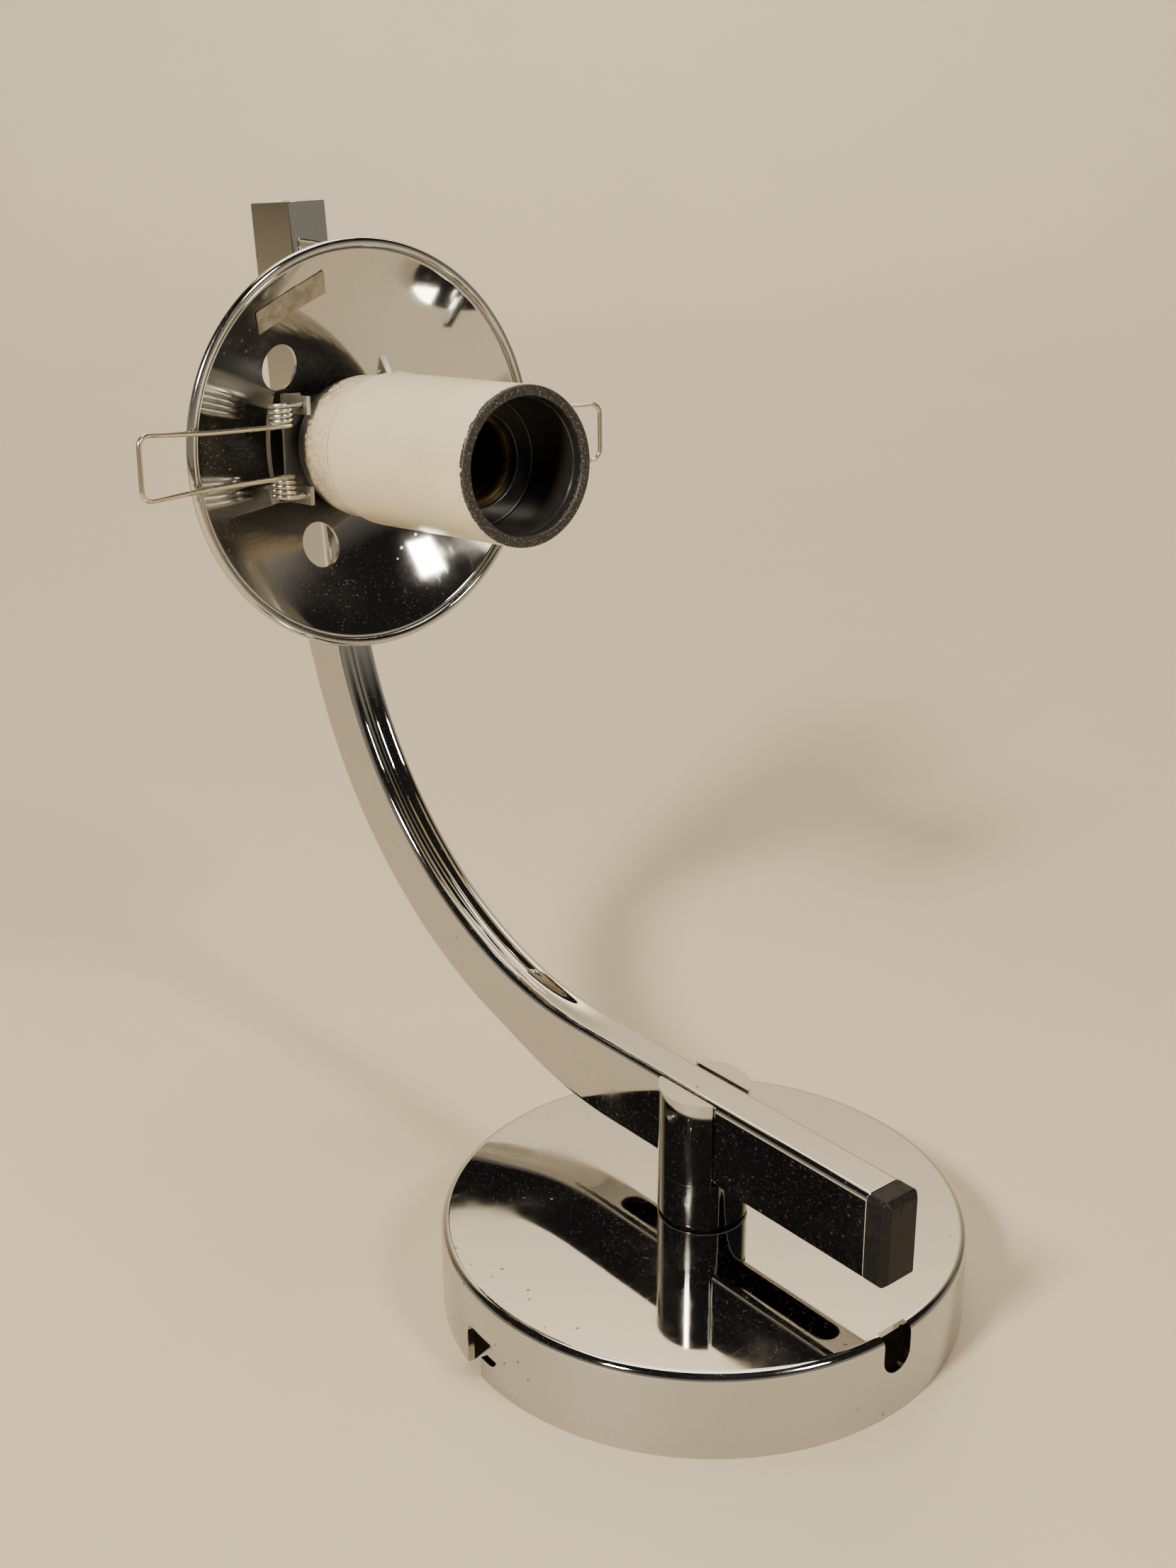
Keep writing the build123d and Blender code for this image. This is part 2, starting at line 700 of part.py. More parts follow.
# ---- conductors ------------------------------------------------------------------------------
wire_turn = 5.0
wire_foot = tube_low + tube_wall - 0.4
through_nipple = tube_depth / 2 - wire_turn + nipple_length + 0.5
screw_back = insert_low - 1.8
for name, side in (("brown", -1), ("blue", 1)):
    y = side * core_side
    with BuildPart() as arm_wire:
        with BuildLine(Plane.XZ):
            lift = Line((0, wire_foot), (0, tube_mid - wire_turn))
            turn = JernArc(lift @ 1, (0, 1), wire_turn, 90)
            run = Line(turn @ 1, (-bend_start, tube_mid))
            bend = JernArc(run @ 1, (-1, 0), bend_radius, -bend_angle)
            rise = PolarLine(bend @ 1, head_rise - wire_turn, direction=(-sin_lean, cos_lean))
            over = JernArc(rise @ 1, (-sin_lean, cos_lean), wire_turn, -90)
            PolarLine(over @ 1, through_nipple, direction=(cos_lean, sin_lean))
        with BuildSketch(Plane.XY.offset(wire_foot)):
            with Locations((0, y)):
                Circle(core)
        sweep()
    save(arm_wire.part, f"arm_wire_{name}")

    save(conductor([
        on_head(y, 0, nipple_length + 0.55), on_head(y, 0, nipple_length + 1.9),
        on_head(side * contact_side, 0, screw_back - 1.05), on_head(side * 9.0, 0, screw_back - 1.05),
    ], [1.0, 1.0]), f"holder_wire_{name}")

    with BuildPart() as post_wire:
        with BuildSketch(Plane.XY.offset(nipple_low)):
            with Locations((0, y)):
                Circle(core)
        extrude(amount=wire_foot - 0.05 - nipple_low)
    save(post_wire.part, f"post_wire_{name}")

    pole = -pole_pitch if name == "brown" else 0.0
    save(conductor([
        (0, y, nipple_low - 0.05), (0, y, 4.6), (8.0, y + (pole - y) * 0.8, 4.6),
        (13.0, pole, barrel_z), (block_x - 2.6, pole, barrel_z),
    ], [2.4, 2.4, 3.0]), f"canopy_wire_{name}")

save(conductor([
    (block_x - 2.6, pole_pitch, barrel_z), (12.5, pole_pitch, barrel_z), (9.0, 11.5, 9.2),
    (8.2, earth_y - 2.5, 11.2), (10.0, earth_y, block_top - 1.3), (block_x - 8.2, earth_y, block_top - 1.3),
], [2.6, 2.4, 2.0, 1.6]), "earth_wire")
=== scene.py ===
"""Adjustable lamp with a reflector dish: the shown pieces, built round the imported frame.

Helper lengths are millimetres, and each mesh is stored in metres. Pieces of the
head are made in the head's own directions: x to the side, y up the tube and z
along the lampholder, away from the tube's inner face.
"""
import json
import math

import bpy
import numpy as np
from bpy.props import FloatProperty, FloatVectorProperty, IntProperty, PointerProperty
from bpy.types import Operator, Panel, PropertyGroup
from mathutils import Matrix, Vector
from mathutils.bvhtree import BVHTree
from mathutils.interpolate import poly_3d_calc


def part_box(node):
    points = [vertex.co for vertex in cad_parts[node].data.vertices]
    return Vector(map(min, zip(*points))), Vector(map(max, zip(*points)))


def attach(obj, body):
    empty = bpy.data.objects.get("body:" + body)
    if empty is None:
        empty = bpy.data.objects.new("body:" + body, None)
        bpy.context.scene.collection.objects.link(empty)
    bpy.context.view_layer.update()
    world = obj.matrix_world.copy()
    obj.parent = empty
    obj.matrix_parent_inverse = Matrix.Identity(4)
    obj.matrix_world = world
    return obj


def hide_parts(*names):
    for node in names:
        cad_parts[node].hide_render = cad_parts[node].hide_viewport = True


bl_info = {
    "name": "Adjustable Lamp",
    "version": (1, 0, 0),
    "blender": (4, 5, 0),
    "location": "3D View > Sidebar > Lamp",
    "description": "Builds the shown pieces of an adjustable lamp with a reflector dish",
    "category": "Add Mesh",
}

MM = 0.001

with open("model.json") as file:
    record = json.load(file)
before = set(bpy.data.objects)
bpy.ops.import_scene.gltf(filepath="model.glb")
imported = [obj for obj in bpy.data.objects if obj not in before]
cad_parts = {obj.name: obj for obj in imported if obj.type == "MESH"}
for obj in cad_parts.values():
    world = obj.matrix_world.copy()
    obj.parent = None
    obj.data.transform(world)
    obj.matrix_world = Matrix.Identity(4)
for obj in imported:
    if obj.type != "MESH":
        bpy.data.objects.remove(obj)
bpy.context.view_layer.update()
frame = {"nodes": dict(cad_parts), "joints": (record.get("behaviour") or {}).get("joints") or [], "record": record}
joints = {joint["name"]: joint for joint in frame["joints"]}
mounts = {mount["name"]: mount for mount in frame["record"]["mounts"]}

# Directions, places and millimetres that several operators work from.
ALONG, SIDE, UP = Vector((1, 0, 0)), Vector((0, 1, 0)), Vector((0, 0, 1))
HEAD_DIR = Vector(mounts["lamp_thread"]["axis"]).normalized()
HEAD_UP = HEAD_DIR.cross(SIDE)
RIM_OUT = 13.5                       # tube face to the plane of the dish's rim
HEAD = Vector(mounts["shade_clips"]["pos_m"]) - HEAD_DIR * RIM_OUT * MM
HEAD_HOLE = 5.1                      # radius of the nipple's hole in the dish and the lampholder
ON_SURFACE = 0.02                    # a cut face this near the uncut surface is part of it

# Tints that no colour setting covers.
CHROME_DUST = (0.42, 0.38, 0.30)
MOULDING_DUST = (0.36, 0.33, 0.27)
PLASTIC_DUST = (0.30, 0.28, 0.25)
BLACK_STEEL = (0.09, 0.085, 0.08)
EARTH_YELLOW = (0.62, 0.52, 0.05)


def box_mm(node):
    """Lowest and highest corner of a CAD node, in millimetres."""
    low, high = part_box(node)
    return low / MM, high / MM


def axes(x, y, z, origin):
    """Matrix whose columns are three directions and a place."""
    matrix = Matrix((x, y, z)).transposed().to_4x4()
    matrix.translation = origin
    return matrix


HEAD_PLACE = axes(SIDE, HEAD_UP, HEAD_DIR, HEAD)
ROW_PLACE = Matrix.Identity(4)


# ---- sizes and colours a user would change ------------------------------------------

def length(label, text, value):
    """A length property kept in metres and given here in millimetres."""
    return FloatProperty(
        name=label, description=text, default=value * MM, min=0.0, unit="LENGTH", precision=5,
    )


def colour(label, text, value):
    """A colour property."""
    return FloatVectorProperty(
        name=label, description=text, default=value, size=3, min=0, max=1, subtype="COLOR",
    )


def power(label, text, value):
    """A light's power, in watts."""
    return FloatProperty(name=label, description=text, default=value, min=0, unit="POWER")


class LampSizes(PropertyGroup):
    """Sizes of the shown pieces."""

    around: IntProperty(name="Steps Round", description="Faces round each turned piece", default=192, min=48)
    canopy_edge: length("Canopy Edge", "Rounding of the canopy's upper edge", 1.6)
    canopy_sheet: length("Canopy Sheet", "Thickness of the canopy", 1.2)
    tube_wall: length("Tube Wall", "Thickness of the arm's tube", 1.0)
    tube_edge: length("Tube Edge", "Rounding of the tube's long edges", 1.25)
    bend_inner: length("Bend Inner Radius", "Radius of the inside of the bend", 78.0)
    bend_flat: length("Bend Flattening", "How far the outside of the bend is drawn in", 3.0)
    bend_dish: length("Bend Hollow", "Depth of the hollow along the inside of the bend", 0.9)
    dish_sheet: length("Dish Sheet", "Thickness of the dish", 0.8)
    dish_bead: length("Dish Bead", "Radius of the dish's rolled edge", 0.9)
    vent_radius: length("Vent Radius", "Radius of each round vent", 4.3)
    vent_circle: length("Vent Circle", "Radius of the circle that the vents lie on", 20.2)
    seam: length("Seam", "Tube face to the seam of the lampholder", 20.0)
    wire: length("Wire Radius", "Radius of the clips' spring wire", 0.475)
    coil: length("Coil Radius", "Radius of a coil, to the middle of its wire", 2.0)
    coil_turns: IntProperty(name="Coil Turns", description="Turns in each coil", default=4, min=2)


class LampColours(PropertyGroup):
    """Colours of the finishes."""

    chrome: colour("Chrome", "Bright plate", (0.515, 0.515, 0.505))
    zinc: colour("Zinc", "Plated steel of the hidden fastenings", (0.55, 0.54, 0.51))
    spring: colour("Spring Steel", "Wire of the clips", (0.56, 0.54, 0.48))
    brass: colour("Brass", "Contacts and thread shell", (0.62, 0.46, 0.20))
    paint: colour("Cream Paint", "Outside of the lampholder", (0.68, 0.61, 0.45))
    grime: colour("Grime", "Dirt on the paint", (0.30, 0.21, 0.11))
    bakelite: colour("Bakelite", "Bare black moulding", (0.013, 0.013, 0.013))
    plastic: colour("Black Plastic", "End cap, plug and washers", (0.008, 0.008, 0.009))
    label: colour("Label", "Blank foil label", (0.36, 0.34, 0.28))
    block: colour("Terminal Block", "Off-white moulding", (0.74, 0.71, 0.62))
    brown: colour("Brown Core", "Insulation of the live core", (0.16, 0.07, 0.03))
    blue: colour("Blue Core", "Insulation of the neutral core", (0.03, 0.12, 0.38))
    green: colour("Green Core", "Insulation of the earth core", (0.12, 0.30, 0.05))
    floor: colour("Floor", "Plain pale floor", (0.55, 0.485, 0.37))


class LampStage(PropertyGroup):
    """Lights and camera."""

    lens: FloatProperty(name="Lens", description="Focal length", default=43.58, min=10, unit="CAMERA")
    key_power: power("Key Light", "Power of the main light", 20)
    fill_power: power("Fill Light", "Power of the softer light", 9)
    top_power: power("Top Light", "Power of the overhead light", 10)
    back_power: power("Backdrop Light", "Power on the backdrop", 95)


# ---- meshes ---------------------------------------------------------------------------

def corners(points, closed=True, step=9.0):
    """Runs along a flat outline: arrays of starts, ends, and outward normals at both ends.

    A point is (x, y, rounding). A rounding of 0 leaves a sharp corner and one of
    -1 marks a point of a smooth curve. A closed outline runs anticlockwise, and
    the outward side of any outline is on the right of its direction.
    """
    if closed:
        x, y = np.array([p[:2] for p in points], float).T
        if np.sum(x * np.roll(y, -1) - np.roll(x, -1) * y) < 0:
            points = points[::-1]
    spot = [np.array(p[:2], float) for p in points]
    last = len(points) - 1
    turn_in, turn_out, arcs = [], [], []
    for i, p in enumerate(points):
        if not closed and i in (0, last):
            turn_in.append((spot[i], None))
            turn_out.append((spot[i], None))
            arcs.append([])
            continue
        before = spot[i] - spot[i - 1]
        after = spot[(i + 1) % len(spot)] - spot[i]
        before /= np.hypot(*before)
        after /= np.hypot(*after)
        normal_in = np.array((before[1], -before[0]))
        normal_out = np.array((after[1], -after[0]))
        if p[2] < 0:
            normal_in = normal_in + normal_out
            normal_in /= np.hypot(*normal_in)
            normal_out = normal_in
        if p[2] <= 0:
            turn_in.append((spot[i], normal_in))
            turn_out.append((spot[i], normal_out))
            arcs.append([])
            continue
        angle = math.atan2(before[0] * after[1] - before[1] * after[0], before @ after)
        back = abs(p[2] * math.tan(angle / 2))
        lean = p[2] * math.copysign(1, angle)
        start = spot[i] - before * back
        centre = start - normal_in * lean
        steps = max(2, math.ceil(math.degrees(abs(angle)) / step))
        ring = []
        for k in range(steps + 1):
            c, s = math.cos(angle * k / steps), math.sin(angle * k / steps)
            normal = np.array((normal_in[0] * c - normal_in[1] * s, normal_in[0] * s + normal_in[1] * c))
            ring.append((centre + normal * lean, normal))
        turn_in.append((ring[0][0], normal_in))
        turn_out.append((ring[-1][0], normal_out))
        arcs.append(ring)
    runs = []
    for i in range(len(points)):
        for a, b in zip(arcs[i], arcs[i][1:]):
            runs.append((a[0], b[0], a[1], b[1]))
        if i == last and not closed:
            break
        k = (i + 1) % len(points)
        start, end = turn_out[i], turn_in[k]
        way = end[0] - start[0]
        size = np.hypot(*way)
        if size < 1e-6:
            continue
        plain = np.array((way[1], -way[0])) / size
        smooth_start = points[i][2] < 0 and start[1] is not None
        smooth_end = points[k][2] < 0 and end[1] is not None
        first = start[1] if smooth_start else plain
        second = end[1] if smooth_end else plain
        runs.append((start[0], end[0], first, second))
    return runs


def circle(count):
    """Rim of a turned piece: no offset, and one outward normal for each step."""
    angle = np.arange(count) * 2 * math.pi / count
    return np.zeros((count, 2)), np.stack((np.cos(angle), np.sin(angle)), 1)


def plan(points, step=12.0):
    """Rim of a prism with rounded corners: points of its plan, and their outward normals."""
    runs = corners(points, True, step)
    return np.array([r[0] for r in runs]), np.array([r[2] for r in runs])


def rings(runs, rim, closed=True):
    """Rows for skin(): each profile point (along, out) carried round a rim."""
    base, out = rim
    rows = []
    count = len(runs) if closed else len(runs) + 1
    for i in range(count):
        here = runs[i][0] if i < len(runs) else runs[-1][1]
        before = runs[i - 1][3] if i or closed else runs[0][2]
        after = runs[i][2] if i < len(runs) else runs[-1][3]
        flat = base + out * here[1]
        points = np.column_stack((flat, np.full(len(flat), here[0])))
        leans = [np.column_stack((out * n[1], np.full(len(out), n[0]))) for n in (before, after)]
        rows.append((points, *leans))
    return rows


def new_object(name, verts, faces, normals, place):
    """Mesh object, in metres, with its own corner normals."""
    mesh = bpy.data.meshes.new(name)
    mesh.from_pydata((np.asarray(verts) * MM).tolist(), [], faces)
    mesh.shade_smooth()
    mesh.update()
    normals = np.asarray(normals, float)
    normals /= np.maximum(np.linalg.norm(normals, axis=1, keepdims=True), 1e-9)
    mesh.normals_split_custom_set(normals.tolist())
    thing = bpy.data.objects.new(name, mesh)
    bpy.context.scene.collection.objects.link(thing)
    thing.matrix_world = place
    return thing


def smooth_object(name, verts, faces, sharp, place=ROW_PLACE):
    """Mesh object from places in millimetres, shaded smooth up to an angle of sharp degrees."""
    mesh = bpy.data.meshes.new(name)
    mesh.from_pydata((np.asarray(verts) * MM).tolist(), [], faces)
    mesh.shade_smooth()
    mesh.set_sharp_from_angle(angle=math.radians(sharp))
    thing = bpy.data.objects.new(name, mesh)
    bpy.context.scene.collection.objects.link(thing)
    thing.matrix_world = place
    return thing


def ring_faces(count, around, closed):
    """Faces between each ring of points and the next."""
    j = np.arange(around)
    m = (j + 1) % around
    faces = []
    for i in range(count if closed else count - 1):
        k = (i + 1) % count
        faces += np.stack((i * around + j, k * around + j, k * around + m, i * around + m), 1).tolist()
    return faces


def skin(name, rows, place=ROW_PLACE, closed=True, capped=False):
    """Object from rings of points: each row is (points, normals before it, normals after it)."""
    count, around = len(rows), len(rows[0][0])
    verts = np.concatenate([r[0] for r in rows])
    faces, normals = ring_faces(count, around, closed), []
    j = np.arange(around)
    m = (j + 1) % around
    for i in range(count if closed else count - 1):
        first, second = rows[i][2], rows[(i + 1) % count][1]
        normals.append(np.stack((first, second, second[m], first[m]), 1).reshape(-1, 3))
    if capped:
        for row, order in ((0, j), (count - 1, j[::-1])):
            faces.append((row * around + order).tolist())
            ring = rows[row][0][order]
            flat = np.cross(ring, np.roll(ring, -1, 0)).sum(0)
            normals.append(np.tile(flat / np.linalg.norm(flat), (around, 1)))
    return new_object(name, verts, faces, np.concatenate(normals), place)


def turned(name, points, place=ROW_PLACE, count=192, step=9.0):
    """Closed turned piece from its half profile of (along, radius, rounding) points."""
    return skin(name, rings(corners(points, True, step), circle(count)), place)


def prism(name, outline, profile, place=ROW_PLACE, step=12.0):
    """Solid prism: a plan outline, and a profile of (along, out, rounding) from its top down."""
    rows = rings(corners(profile, False, step), plan(outline, step), False)
    return skin(name, rows, place, False, True)


def rod(name, start, end, radius, place, count=48):
    """Plain cylinder between two distances along the z direction of its place."""
    rows = rings(corners([(start, radius, 0), (end, radius, 0)], False), circle(count), False)
    return skin(name, rows, place, False, True)


def rounded_box(low, high, rounding):
    """Plan of a rectangle with rounded corners."""
    spots = ((low[0], low[1]), (high[0], low[1]), (high[0], high[1]), (low[0], high[1]))
    return [(*spot, rounding) for spot in spots]


def keep_normals(mesh, clean):
    """Give a cut mesh the clean mesh's normals wherever its faces lie on the clean surface."""
    spots = [v.co.copy() for v in clean.vertices]
    polygons = [tuple(p.vertices) for p in clean.polygons]
    starts = [p.loop_start for p in clean.polygons]
    tree = BVHTree.FromPolygons(spots, polygons)
    clean_normals = [Vector(n.vector) for n in clean.corner_normals]
    found = []
    for polygon in mesh.polygons:
        _, _, index, distance = tree.find_nearest(polygon.center)
        facing = index is not None and polygon.normal.dot(clean_normals[starts[index]]) > 0.5
        for v in polygon.vertices:
            if distance is None or distance > ON_SURFACE * MM or not facing:
                found.append(polygon.normal)
                continue
            ring = polygons[index]
            shares = poly_3d_calc([spots[k] for k in ring], mesh.vertices[v].co)
            normal = sum((clean_normals[starts[index] + k] * w for k, w in enumerate(shares)), Vector())
            found.append(normal.normalized() if normal.length > 1e-6 else polygon.normal)
    mesh.shade_smooth()
    mesh.normals_split_custom_set([tuple(n) for n in found])


def cut(thing, *cutters):
    """Cut closed pieces out of a mesh object, and keep its own smooth normals."""
    clean = thing.data
    for cutter in cutters:
        step = thing.modifiers.new("cut", "BOOLEAN")
        step.operation = "DIFFERENCE"
        step.solver = "EXACT"
        step.object = cutter
    bpy.context.view_layer.update()
    graph = bpy.context.evaluated_depsgraph_get()
    mesh = bpy.data.meshes.new_from_object(thing.evaluated_get(graph))
    thing.modifiers.clear()
    if len(mesh.polygons) < len(clean.polygons) / 2:
        raise RuntimeError(f"the cut emptied {thing.name}")
    mesh.name = clean.name
    keep_normals(mesh, clean)
    thing.data = mesh
    bpy.data.meshes.remove(clean)
    for cutter in cutters:
        bpy.data.objects.remove(cutter)
    return thing


def join(name, things):
    """One object from several that share a place, with their corner normals kept."""
    verts, faces, normals, slots = [], [], [], []
    materials = []
    for thing in things:
        base = len(verts)
        verts += [v.co / MM for v in thing.data.vertices]
        normals += [tuple(n.vector) for n in thing.data.corner_normals]
        for material in thing.data.materials:
            if material not in materials:
                materials.append(material)
        for p in thing.data.polygons:
            faces.append([base + v for v in p.vertices])
            slots.append(materials.index(thing.data.materials[p.material_index]) if materials else 0)
    whole = new_object(name, [tuple(v) for v in verts], faces, normals, things[0].matrix_world.copy())
    for material in materials:
        whole.data.materials.append(material)
    whole.data.polygons.foreach_set("material_index", slots)
    for thing in things:
        bpy.data.objects.remove(thing)
    return whole


def rounded_path(points, radii, step=10.0):
    """Dense points along straight runs joined by arcs. Ends need no radius."""
    path = [Vector(points[0])]
    for i, radius in enumerate(radii, 1):
        here = Vector(points[i])
        before = (here - Vector(points[i - 1])).normalized()
        after = (Vector(points[i + 1]) - here).normalized()
        angle = before.angle(after)
        back = radius * math.tan(angle / 2)
        start = here - before * back
        inward = (after - before * before.dot(after)).normalized()
        steps = max(2, math.ceil(math.degrees(angle) / step))
        for k in range(steps + 1):
            turn = angle * k / steps
            across = inward * radius * (1 - math.cos(turn))
            path.append(start + before * radius * math.sin(turn) + across)
    path.append(Vector(points[-1]))
    return path


def round_wire(name, path, radius, place, sides=16):
    """Round wire along dense points, with slightly domed ends."""
    path = [Vector(p) for p in path]
    ways = []
    for i in range(len(path)):
        a, b = path[max(i - 1, 0)], path[min(i + 1, len(path) - 1)]
        ways.append((b - a).normalized())
    across = Vector((0.3, 1, 0.2))
    angle = np.arange(sides) * 2 * math.pi / sides
    rows = []
    dome = [(radius * 0.5 * (1 - math.cos(t)), math.sin(t)) for t in np.radians((20, 45, 70))]

    def ring(spot, way, across, share, lean):
        """One ring of the wire: share of the full radius, normals leaning along the wire."""
        u = (across - way * across.dot(way)).normalized()
        v = way.cross(u)
        out = np.outer(np.cos(angle), u) + np.outer(np.sin(angle), v)
        normal = out * math.cos(lean) + np.array(way) * math.sin(lean)
        return np.array(spot) + out * radius * share, normal, normal

    for i, (spot, way) in enumerate(zip(path, ways)):
        across = (across - way * across.dot(way)).normalized()
        if i == 0:
            for back, share in dome:
                rows.append(ring(spot - way * (radius * 0.5 - back), way, across, share, -math.acos(share)))
        rows.append(ring(spot, way, across, 1.0, 0.0))
        if i == len(path) - 1:
            for back, share in reversed(dome):
                rows.append(ring(spot + way * (radius * 0.5 - back), way, across, share, math.acos(share)))
    rows.reverse()
    return skin(name, rows, place, False, True)


# ---- finishes ---------------------------------------------------------------------------

class Finish:
    """One material, built node by node."""

    def __init__(self, name):
        self.material = bpy.data.materials.new(name)
        self.material.use_nodes = True
        self.tree = self.material.node_tree
        self.shader = self.tree.nodes["Principled BSDF"]
        self.where = self.add("ShaderNodeTexCoord").outputs["Object"]

    def add(self, kind, **sockets):
        """New node. A keyword sets a socket by name, or by number as _0, or a setting of the node."""
        node = self.tree.nodes.new(kind)
        for key, value in sockets.items():
            if hasattr(node, key) and key not in node.inputs:
                setattr(node, key, value)
        for key, value in sockets.items():
            socket = node.inputs[int(key[1:])] if key[0] == "_" else node.inputs.get(key)
            if socket is None:
                continue
            if isinstance(value, bpy.types.NodeSocket):
                self.tree.links.new(value, socket)
            else:
                socket.default_value = value
        return node

    def set(self, **sockets):
        """Set or link sockets of the shader itself."""
        for key, value in sockets.items():
            socket = self.shader.inputs[key.replace("_", " ")]
            if isinstance(value, bpy.types.NodeSocket):
                self.tree.links.new(value, socket)
            else:
                socket.default_value = value

    def noise(self, scale, detail=4.0, stretch=(1, 1, 1), shift=(0, 0, 0), rough=0.55):
        """Noise over the piece. Scale is in features per metre."""
        place = self.add("ShaderNodeMapping", Vector=self.where, Scale=stretch, Location=shift).outputs[0]
        made = self.add("ShaderNodeTexNoise", Vector=place, Scale=scale, Detail=detail, Roughness=rough)
        return made.outputs["Fac"]

    def specks(self, scale, size, shift=(0, 0, 0)):
        """Small round marks, 1 inside a mark and 0 outside."""
        place = self.add("ShaderNodeMapping", Vector=self.where, Location=shift).outputs[0]
        made = self.add("ShaderNodeTexVoronoi", Vector=place, Scale=scale, Randomness=1.0)
        return self.band(made.outputs["Distance"], size, size * 0.6)

    def band(self, value, low, high):
        """Smooth step of a value from 0 at low to 1 at high."""
        made = self.add("ShaderNodeMapRange", interpolation_type="SMOOTHSTEP", Value=value)
        made.inputs["From Min"].default_value = low
        made.inputs["From Max"].default_value = high
        return made.outputs["Result"]

    def scale(self, value, low, high):
        """A 0 to 1 value carried to a range."""
        made = self.add("ShaderNodeMapRange", Value=value)
        made.inputs["To Min"].default_value = low
        made.inputs["To Max"].default_value = high
        return made.outputs["Result"]

    def maths(self, operation, a, b=0.0):
        """One arithmetic step."""
        return self.add("ShaderNodeMath", operation=operation, _0=a, _1=b).outputs[0]

    def plus(self, a, b):
        """Sum."""
        return self.maths("ADD", a, b)

    def times(self, a, b):
        """Product."""
        return self.maths("MULTIPLY", a, b)

    def most(self, a, b):
        """Greater of two."""
        return self.maths("MAXIMUM", a, b)

    def blend(self, share, a, b):
        """Mix of two colours."""
        made = self.add("ShaderNodeMix", data_type="RGBA")
        for index, value in ((0, share), (6, a), (7, b)):
            if isinstance(value, bpy.types.NodeSocket):
                self.tree.links.new(value, made.inputs[index])
            else:
                made.inputs[index].default_value = (*value, 1) if index else value
        return made.outputs[2]

    def bump(self, height, depth, strength=1.0, below=None):
        """Bump of a height, its depth in millimetres."""
        made = self.add("ShaderNodeBump", Height=height, Distance=depth * MM, Strength=strength)
        if below is not None:
            self.tree.links.new(below, made.inputs["Normal"])
        self.tree.links.new(made.outputs[0], self.shader.inputs["Normal"])
        return made.outputs[0]

    def split(self):
        """The three parts of the place on the piece, in metres."""
        return self.add("ShaderNodeSeparateXYZ", _0=self.where).outputs


def shade(value, factor):
    """A colour made lighter or darker."""
    return tuple(min(1.0, c * factor) for c in value)


def chrome(name, tint, gloss, haze, marks, wave, shift, satin=0.0, dirty=0.3):
    """Bright plate with faint smears, hair scratches, pits and dust. Satin streaks the lower 14 mm."""
    f = Finish(name)
    smear = f.band(f.noise(38, 5, shift=shift), 0.46, 0.72)
    fine = f.noise(900, 3, (1, 0.12, 0.5), shift)
    pits = f.specks(420, 0.16, shift)
    rare = f.band(f.noise(60, 3, shift=(shift[0] + 3, 1, 2)), 0.56, 0.68)
    spots = f.times(f.times(pits, rare), marks)
    dust = f.most(f.band(f.noise(2100, 3, shift=shift), 0.63, 0.72), f.specks(1100, 0.13, shift))
    dusty = f.times(f.times(dust, f.scale(smear, 0.35, 1.0)), dirty)
    base = f.blend(dusty, f.blend(spots, tint, shade(tint, 0.16)), CHROME_DUST)
    rough = f.plus(f.scale(smear, gloss, gloss + haze), f.times(spots, 0.5))
    rough = f.plus(rough, f.times(f.band(fine, 0.60, 0.78), 0.05))
    if satin:
        streak = f.band(f.noise(240, 3, (1, 1, 0.06), shift), 0.30, 0.72)
        lower = f.times(f.band(f.split()[2], 0.0146, 0.0138), f.scale(streak, 0.45, 1.0))
        rough = f.plus(rough, f.times(lower, satin))
    f.set(Base_Color=base, Metallic=f.maths("SUBTRACT", 1.0, dusty), Roughness=rough)
    soft = f.bump(f.noise(70, 2, shift=shift), wave)
    f.bump(f.maths("SUBTRACT", 1.0, spots), 0.01, 0.6, soft)
    return f.material


def dull_metal(name, tint, rough, grain=1500, marks=0.5):
    """Plated or drawn metal with small tarnish spots and a fine grain."""
    f = Finish(name)
    tarnish = f.band(f.noise(300, 5), 0.45, 0.75)
    base = f.blend(f.times(tarnish, marks), tint, shade(tint, 0.35))
    f.set(Base_Color=base, Metallic=1.0, Roughness=f.scale(tarnish, rough, rough + 0.22))
    f.bump(f.noise(grain, 3, (1, 1, 0.2)), 0.01, 0.5)
    return f.material


def moulded(name, tint, rough=0.38, dusty=0.25):
    """Moulded plastic with scuffs and settled dust."""
    f = Finish(name)
    scuff = f.band(f.noise(700, 4, (1, 0.3, 1)), 0.55, 0.75)
    dust = f.times(f.band(f.noise(1900, 4), 0.52, 0.70), dusty)
    f.set(Base_Color=f.blend(dust, tint, PLASTIC_DUST), Roughness=f.scale(scuff, rough, rough + 0.25))
    f.set(IOR=1.5, Specular_IOR_Level=0.16)
    f.bump(f.noise(1300, 4), 0.012, 0.5)
    return f.material


def core_plastic(name, tint, stripe=None):
    """Soft insulation, striped for the earth core."""
    f = Finish(name)
    wear = f.band(f.noise(600, 4), 0.4, 0.8)
    base = f.blend(wear, shade(tint, 0.85), shade(tint, 1.2))
    if stripe:
        base = f.blend(f.band(f.noise(160, 0, (0.2, 1, 1)), 0.49, 0.51), base, stripe)
    f.set(Base_Color=base, Roughness=f.scale(wear, 0.38, 0.5), IOR=1.5)
    f.bump(wear, 0.01, 0.4)
    return f.material


